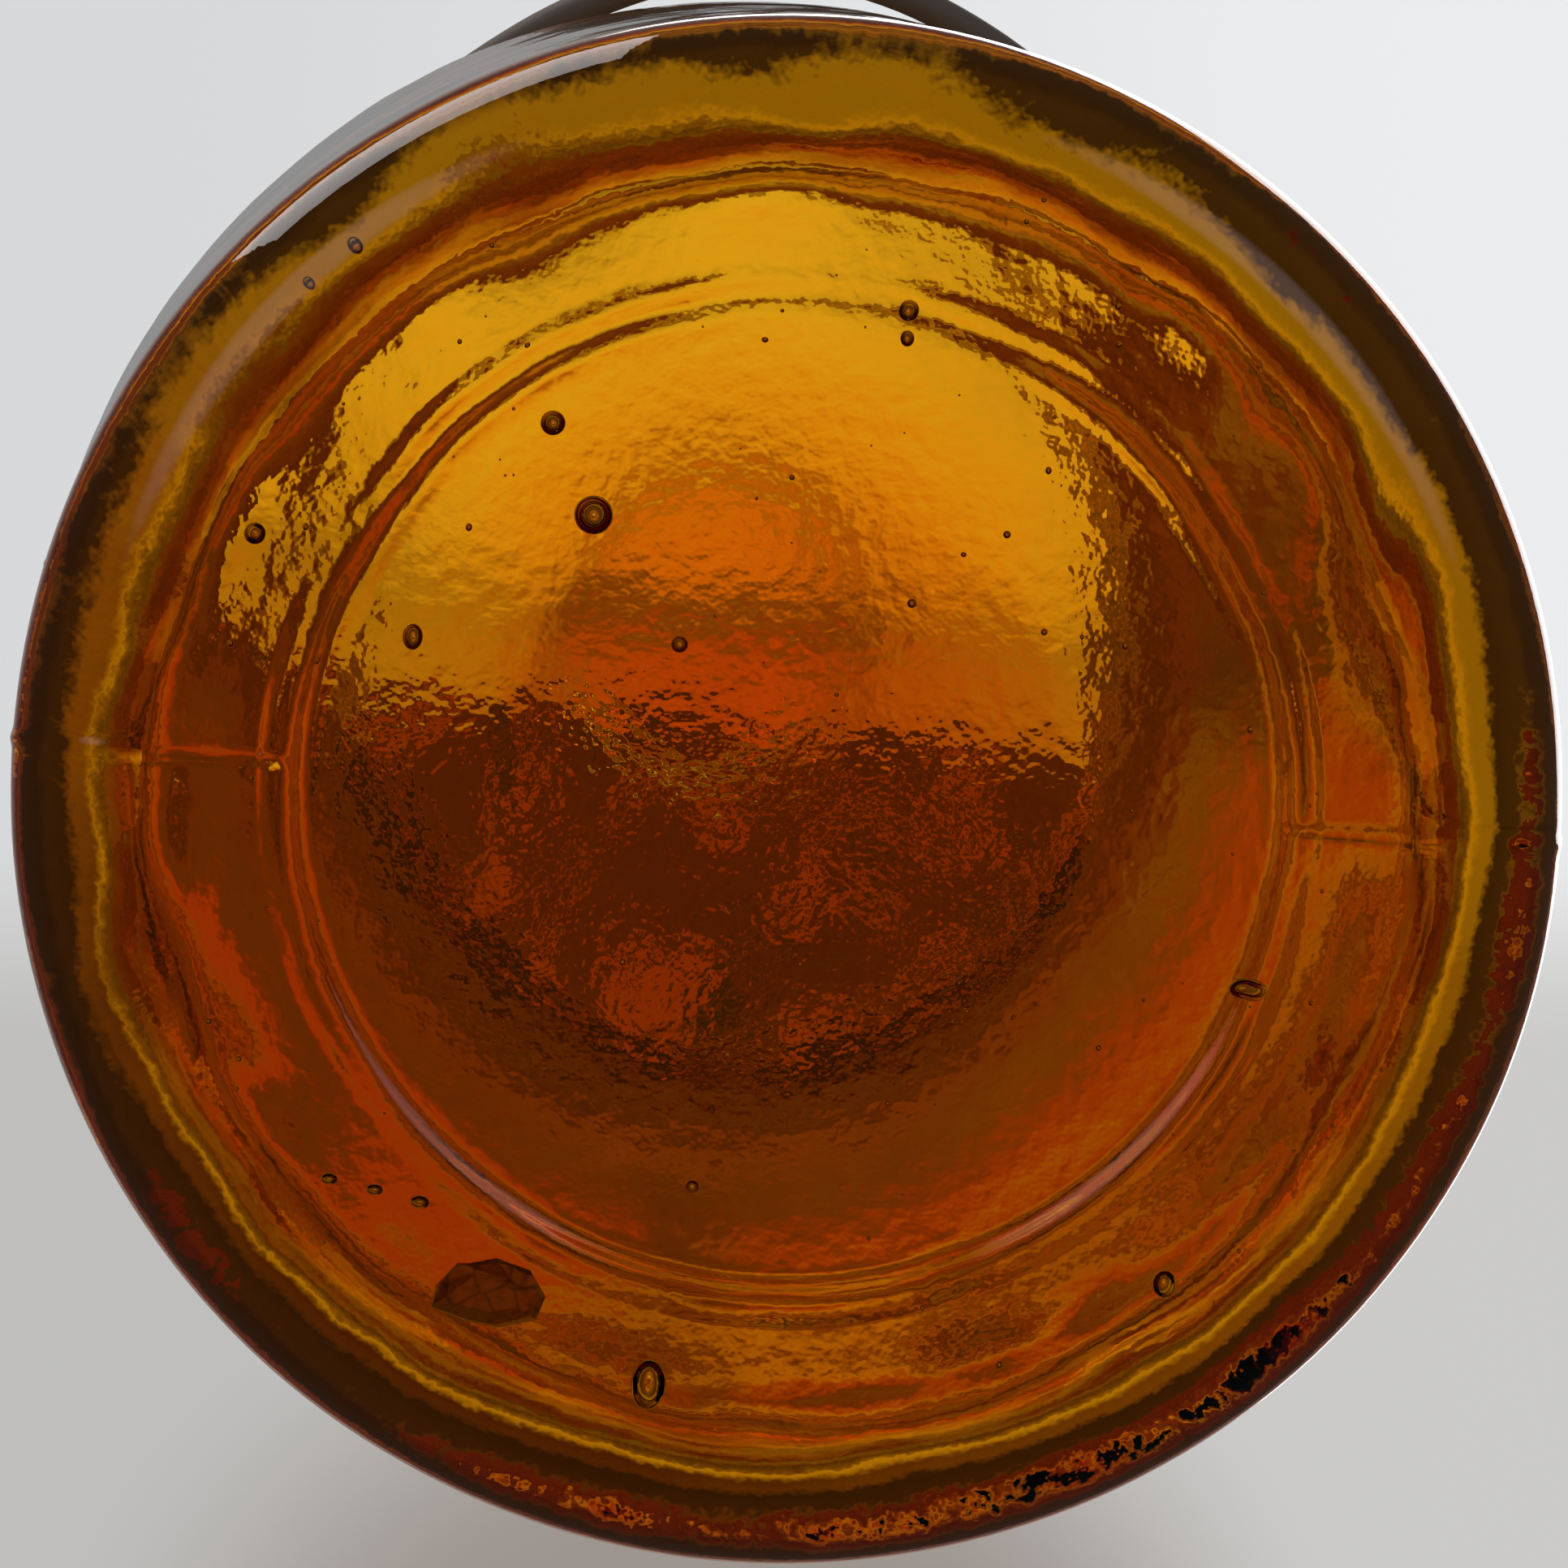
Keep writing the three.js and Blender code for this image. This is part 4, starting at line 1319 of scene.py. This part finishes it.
def stage_material(name, ray, shade):
    """A card that one kind of ray sees, from its front. shade(tree) gives its shader's output."""
    material = bpy.data.materials.new(name)
    material.use_nodes = True
    tree = material.node_tree
    tree.nodes.clear()
    path = add_node(tree, "ShaderNodeLightPath")
    side = add_node(tree, "ShaderNodeNewGeometry")
    seen = {0: path.outputs[ray], 1: side.outputs["Backfacing"]}
    front = add_node(tree, "ShaderNodeMath", seen, operation="SUBTRACT", use_clamp=True)
    clear = add_node(tree, "ShaderNodeBsdfTransparent")
    choice = {"Fac": front.outputs["Value"], 1: clear.outputs["BSDF"], 2: shade(tree)}
    pick = add_node(tree, "ShaderNodeMixShader", choice)
    add_node(tree, "ShaderNodeOutputMaterial", {"Surface": pick.outputs["Shader"]})
    return material


def glowing(tree, colour, strength=1.0):
    """A shader that gives off a colour."""
    return add_node(tree, "ShaderNodeEmission", {"Color": colour, "Strength": strength}).outputs["Emission"]


def add_card(name, height, reach, material, faces_up):
    """A level square card of the stage."""
    turns = ((-1, -1), (1, -1), (1, 1), (-1, 1))
    corners = [(x * reach, y * reach, height) for x, y in turns]
    if not faces_up:
        corners.reverse()
    mesh = mesh_of(name, corners, [(0, 1, 2, 3)])
    mesh.materials.append(material)
    obj = bpy.data.objects.new(name, mesh)
    bpy.context.scene.collection.objects.link(obj)
    return obj


def add_floor(stage):
    """A pale floor under the standing jar, which shows from above and meets the room's light far away."""

    def shade(tree):
        away = stepped(tree, distance_from(tree, object_place(tree), Vector()), *FLOOR_FADE)
        paper = add_node(tree, "ShaderNodeBsdfDiffuse", {"Color": (*stage.paper, 1.0)})
        light = glowing(tree, mixed(tree, away, stage.paper, ROOM_LIGHT))
        blend = {"Fac": away, 1: paper.outputs["BSDF"], 2: light}
        return add_node(tree, "ShaderNodeMixShader", blend).outputs["Shader"]

    return add_card("floor", 0.0, FLOOR_REACH, stage_material("floor_paper", "Is Camera Ray", shade), True)


def add_backdrop():
    """What the photograph shows round the jar: a bright backdrop over a pale table, out of focus."""

    def shade(tree):
        place = object_place(tree)
        up = along(tree, place, VIEW_UP)
        # Painted light: the backdrop and the table grow lighter towards the right
        across = stepped(tree, along(tree, place, VIEW_RIGHT), -0.05, 0.085)
        light = mixed(tree, across, (0.685, 0.69, 0.7), (0.835, 0.84, 0.85))
        pale = mixed(tree, across, (0.52, 0.515, 0.505), (0.6, 0.595, 0.585))
        low = mixed(tree, stepped(tree, up, -0.058, -0.034), pale, light)
        # Painted shadow of the jar on the table, soft round a point in front of its foot
        foot = VIEW_UP * -0.14 + VIEW_RIGHT * 0.008 + Vector((0, 0, BACKDROP_HEIGHT))
        shadow = stepped(tree, distance_from(tree, place, foot), 0.035, 0.072)
        return glowing(tree, mixed(tree, shadow, (0.34, 0.3, 0.275), low))

    card = stage_material("backdrop", "Is Camera Ray", shade)
    return add_card("backdrop", BACKDROP_HEIGHT, CARD_REACH, card, False)


def swirled(tree):
    """Marbled bands on an object's coordinates."""
    texture = {
        "Vector": object_place(tree),
        "Scale": 48.0,
        "Distortion": 9.0,
        "Detail": 2.5,
        "Detail Scale": 2.2,
        "Detail Roughness": 0.55,
    }
    return add_node(tree, "ShaderNodeTexWave", texture, bands_direction="DIAGONAL").outputs["Fac"]


def beyond_mouth(right, up):
    """A point on the light card, right of and above the jar's axis in the photograph's view."""
    return VIEW_RIGHT * right + VIEW_UP * up + Vector((0, 0, LIGHT_HEIGHT))


def mouth_light(tree, place):
    """What shows through the mouth: a glow that is reddest at its lowest point, over marbled murk."""
    from_lowest = distance_from(tree, place, beyond_mouth(0.0019, -0.0145))
    glow = graded(tree, from_lowest, 0.0083, 0.0353, MOUTH_GLOW)
    veins = stepped(tree, swirled(tree), 0.82, 1.0)
    murk = mixed(tree, veins, (0.065, 0.005, 0.0), (0.25, 0.032, 0.0))
    murk = mixed(tree, patches(tree, 150.0, 0.44, 0.1)["Mask"], murk, (0.012, 0.001, 0.0))
    front = ragged(tree, along(tree, place, (0, -1, 0)), 420.0, 0.0011)
    return mixed(tree, stepped(tree, front, -0.0061, -0.0053), murk, glow)


def surroundings(tree, from_axis, colours):
    """Four colours round the mouth, by the distance from the jar's axis, which end in a dark border."""
    near, bright, middle, outer = colours
    stops = [(0.0, near), (0.12, near), (0.17, bright), (0.21, bright), (0.26, middle), (0.36, middle)]
    stops += [(0.42, outer), (0.48, outer), (0.55, DARK_BORDER)]
    return graded(tree, from_axis, 0.036, 0.166, stops)


def light_round_mouth(tree, place):
    """What shows round the mouth: amber, brighter above and in a crescent below, clouded further out."""
    from_axis = distance_from(tree, place, beyond_mouth(0, 0))
    around = surroundings(tree, from_axis, AROUND_SIDES)
    upper = stepped(tree, along(tree, place, VIEW_UP), 0.03, 0.048)
    around = mixed(tree, upper, around, surroundings(tree, from_axis, AROUND_TOP))
    lower = stepped(tree, along(tree, place, VIEW_RIGHT * 0.6 - VIEW_UP * 0.8), 0.02, 0.045)
    around = mixed(tree, lower, around, surroundings(tree, from_axis, AROUND_CRESCENT))
    cloud = ranged(tree, patches(tree, 42.0, 0.5, 0.25)["Mask"], 0.3, 1.0)
    cloudy = mixed(tree, cloud, (0.13, 0.03, 0.0), around)
    return mixed(tree, stepped(tree, from_axis, 0.045, 0.055), around, cloudy)


def add_light_beyond():
    """The light behind the jar that its glass shows: bright above, amber and dark below."""

    def shade(tree):
        place = object_place(tree)
        away = distance_from(tree, place, beyond_mouth(0.0008, -0.0023))
        # Painted shade: a ragged dark ring between the light through the mouth and the light round it
        rim = ragged(tree, ragged(tree, away, 95.0, 0.01), 300.0, 0.005)
        beyond = stepped(tree, ragged(tree, away, 240.0, 0.006), 0.041, 0.0425)
        ring = mixed(tree, beyond, (0.03, 0.006, 0.0), light_round_mouth(tree, place))
        light = mixed(tree, stepped(tree, rim, 0.0454, 0.0462), mouth_light(tree, place), ring)
        return glowing(tree, light, 1.2)

    card = stage_material("light_beyond", "Is Transmission Ray", shade)
    return add_card("light_beyond", LIGHT_HEIGHT, CARD_REACH, card, False)


def room_through_glass(tree, direction):
    """The room as glass shows it: pale below, and dim amber and olive above the horizon."""
    height = along(tree, direction, (0, 0, 1))
    brighter = along(tree, direction, VIEW_UP * 0.86 + VIEW_RIGHT * 0.5)
    steep = graded(tree, height, 0.34, 1.0, greys(((0.0, 0.0), (0.24, 0.94), (0.7, 0.9), (1.0, 0.0))))
    upward = mixed(tree, steep, graded(tree, brighter, -1.0, 1.0, ROOM_ABOVE), (0.04, 0.03, 0.01))
    downward = graded(tree, height, -1.0, 1.0, ROOM_BELOW)
    return mixed(tree, stepped(tree, height, -0.25, 0.1), downward, upward)


def mirrored_room(tree, direction):
    """The room as glossy surfaces mirror it: dark, with a window on each side of the camera."""
    room = graded(tree, along(tree, direction, (0, 0, 1)), -1.0, 1.0, MIRRORED_DARK)
    for side, colour in MIRRORED_WINDOWS:
        window = (VIEW_UP * 0.45 + VIEW_RIGHT * side + Vector((0, 0, -0.85))).normalized()
        lit = stepped(tree, along(tree, direction, window), 0.955, 0.99)
        room = mixed(tree, lit, room, colour)
    return room


def add_world():
    """Soft light all round, which the camera, glossy surfaces and glass each see in their own way."""
    world = bpy.data.worlds.new("studio")
    bpy.context.scene.world = world
    world.use_nodes = True
    tree = world.node_tree
    tree.nodes.clear()
    direction = add_node(tree, "ShaderNodeTexCoord").outputs["Generated"]
    path = add_node(tree, "ShaderNodeLightPath").outputs
    room = mixed(tree, path["Is Camera Ray"], SOFT_LIGHT, ROOM_LIGHT)
    room = mixed(tree, path["Is Glossy Ray"], room, mirrored_room(tree, direction))
    room = mixed(tree, path["Is Transmission Ray"], room, room_through_glass(tree, direction))
    light = add_node(tree, "ShaderNodeBackground", {"Color": room})
    add_node(tree, "ShaderNodeOutputWorld", {"Surface": light.outputs["Background"]})


def add_lamp(name, place, target, size, power, colour):
    """A rectangular lamp that shines at a target and isn't seen itself."""
    light = bpy.data.lights.new(name, "AREA")
    light.shape = "RECTANGLE"
    light.size, light.size_y = size
    light.energy = power
    light.color = colour
    obj = bpy.data.objects.new(name, light)
    obj.location = place
    obj.rotation_euler = (Vector(target) - Vector(place)).to_track_quat("-Z", "Y").to_euler()
    obj.visible_camera = False
    obj.visible_transmission = False
    bpy.context.scene.collection.objects.link(obj)
    return obj


def add_camera(stage):
    """The photograph's view: straight at the base, with the jar's front at the top."""
    camera = bpy.data.cameras.new("camera")
    camera.lens = stage.lens
    camera.clip_end = 100
    obj = bpy.data.objects.new("camera", camera)
    place = VIEW_UP * stage.camera_above - VIEW_RIGHT * stage.camera_left + Vector((0, 0, -stage.distance))
    target = Vector((0, 0, 7 * MM)) + VIEW_UP * (0.4 * MM) - VIEW_RIGHT * (0.2 * MM)
    back = (place - target).normalized()
    right = VIEW_UP.cross(back).normalized()
    up = back.cross(right)
    turn = Matrix((right, up, back)).transposed().to_4x4()
    obj.matrix_world = Matrix.Translation(place) @ turn
    bpy.context.scene.collection.objects.link(obj)
    bpy.context.scene.camera = obj
    return obj


class JarOperator:
    """What the operators share."""

    bl_options = {"REGISTER", "UNDO"}


class FRUITJAR_OT_glass_body(JarOperator, bpy.types.Operator):
    """Build the wavy amber glass body with its bubbles and its stone"""

    bl_idname = "fruit_jar.glass_body"
    bl_label = "Glass Body"

    def execute(self, context):
        add_jar_glass(context.scene.fruit_jar)
        add_stone()
        return {"FINISHED"}


class FRUITJAR_OT_lid(JarOperator, bpy.types.Operator):
    """Build the pressed glass lid with its notched boss"""

    bl_idname = "fruit_jar.lid"
    bl_label = "Glass Lid"

    def execute(self, context):
        add_lid(context.scene.fruit_jar)
        return {"FINISHED"}


class FRUITJAR_OT_rubber_ring(JarOperator, bpy.types.Operator):
    """Build the crumbled rubber ring"""

    bl_idname = "fruit_jar.rubber_ring"
    bl_label = "Rubber Ring"

    def execute(self, context):
        add_ring(context.scene.fruit_jar)
        return {"FINISHED"}


class FRUITJAR_OT_wires(JarOperator, bpy.types.Operator):
    """Bend the neck wire, the lever and the bail"""

    bl_idname = "fruit_jar.wires"
    bl_label = "Iron Wires"

    def execute(self, context):
        settings = context.scene.fruit_jar
        add_wire(settings, "neck_wire_iron", neck_wire_route(), NECK_WIRE_R, "glass_jar", "neck_wire")
        add_wire(settings, "lever_iron", lever_route(), LEVER_WIRE_R, "lever", "lever")
        add_wire(settings, "bail_iron", bail_route(), BAIL_WIRE_R, "bail", "bail")
        return {"FINISHED"}


class FRUITJAR_OT_stage(JarOperator, bpy.types.Operator):
    """Set up the floor, backdrop, lights and camera"""

    bl_idname = "fruit_jar.stage"
    bl_label = "Stage"

    def execute(self, context):
        stage = context.scene.fruit_jar.stage
        add_floor(stage)
        add_backdrop()
        add_light_beyond()
        add_world()
        add_lamp("front_softbox", (-1.0, -1.6, 0.9), (0, 0, 0.1), (1.2, 1.2), 14, (1.0, 0.98, 0.96))
        add_lamp("top_softbox", (0.6, -0.3, 1.8), (0, 0, 0.1), (1.2, 1.2), 12, (1.0, 1.0, 1.0))
        add_camera(stage)
        context.scene.view_settings.view_transform = "Standard"
        return {"FINISHED"}


class FRUITJAR_PT_sidebar(bpy.types.Panel):
    """Lists the pieces of the jar"""

    bl_idname = "FRUITJAR_PT_sidebar"
    bl_label = "Wire-Bail Fruit Jar"
    bl_space_type = "VIEW_3D"
    bl_region_type = "UI"
    bl_category = "Fruit Jar"

    def draw(self, context):
        for operator in OPERATORS:
            self.layout.operator(operator.bl_idname)
        settings = context.scene.fruit_jar
        for group in (settings.glass, settings.wire, settings.rubber, settings.stage):
            box = self.layout.box()
            for prop in group.bl_rna.properties:
                if prop.identifier not in ("rna_type", "name"):
                    box.prop(group, prop.identifier)


OPERATORS = (
    FRUITJAR_OT_stage,
    FRUITJAR_OT_glass_body,
    FRUITJAR_OT_lid,
    FRUITJAR_OT_rubber_ring,
    FRUITJAR_OT_wires,
)
CLASSES = (
    GlassSettings,
    WireSettings,
    RubberSettings,
    StageSettings,
    JarSettings,
    *OPERATORS,
    FRUITJAR_PT_sidebar,
)


def register():
    for cls in CLASSES:
        bpy.utils.register_class(cls)
    bpy.types.Scene.fruit_jar = PointerProperty(type=JarSettings)


def unregister():
    del bpy.types.Scene.fruit_jar
    for cls in reversed(CLASSES):
        bpy.utils.unregister_class(cls)


def main():
    """Builds the whole jar."""
    register()
    for name in ("stage", "glass_body", "lid", "rubber_ring", "wires"):
        getattr(bpy.ops.fruit_jar, name)()


if __name__ == "__main__":
    main()
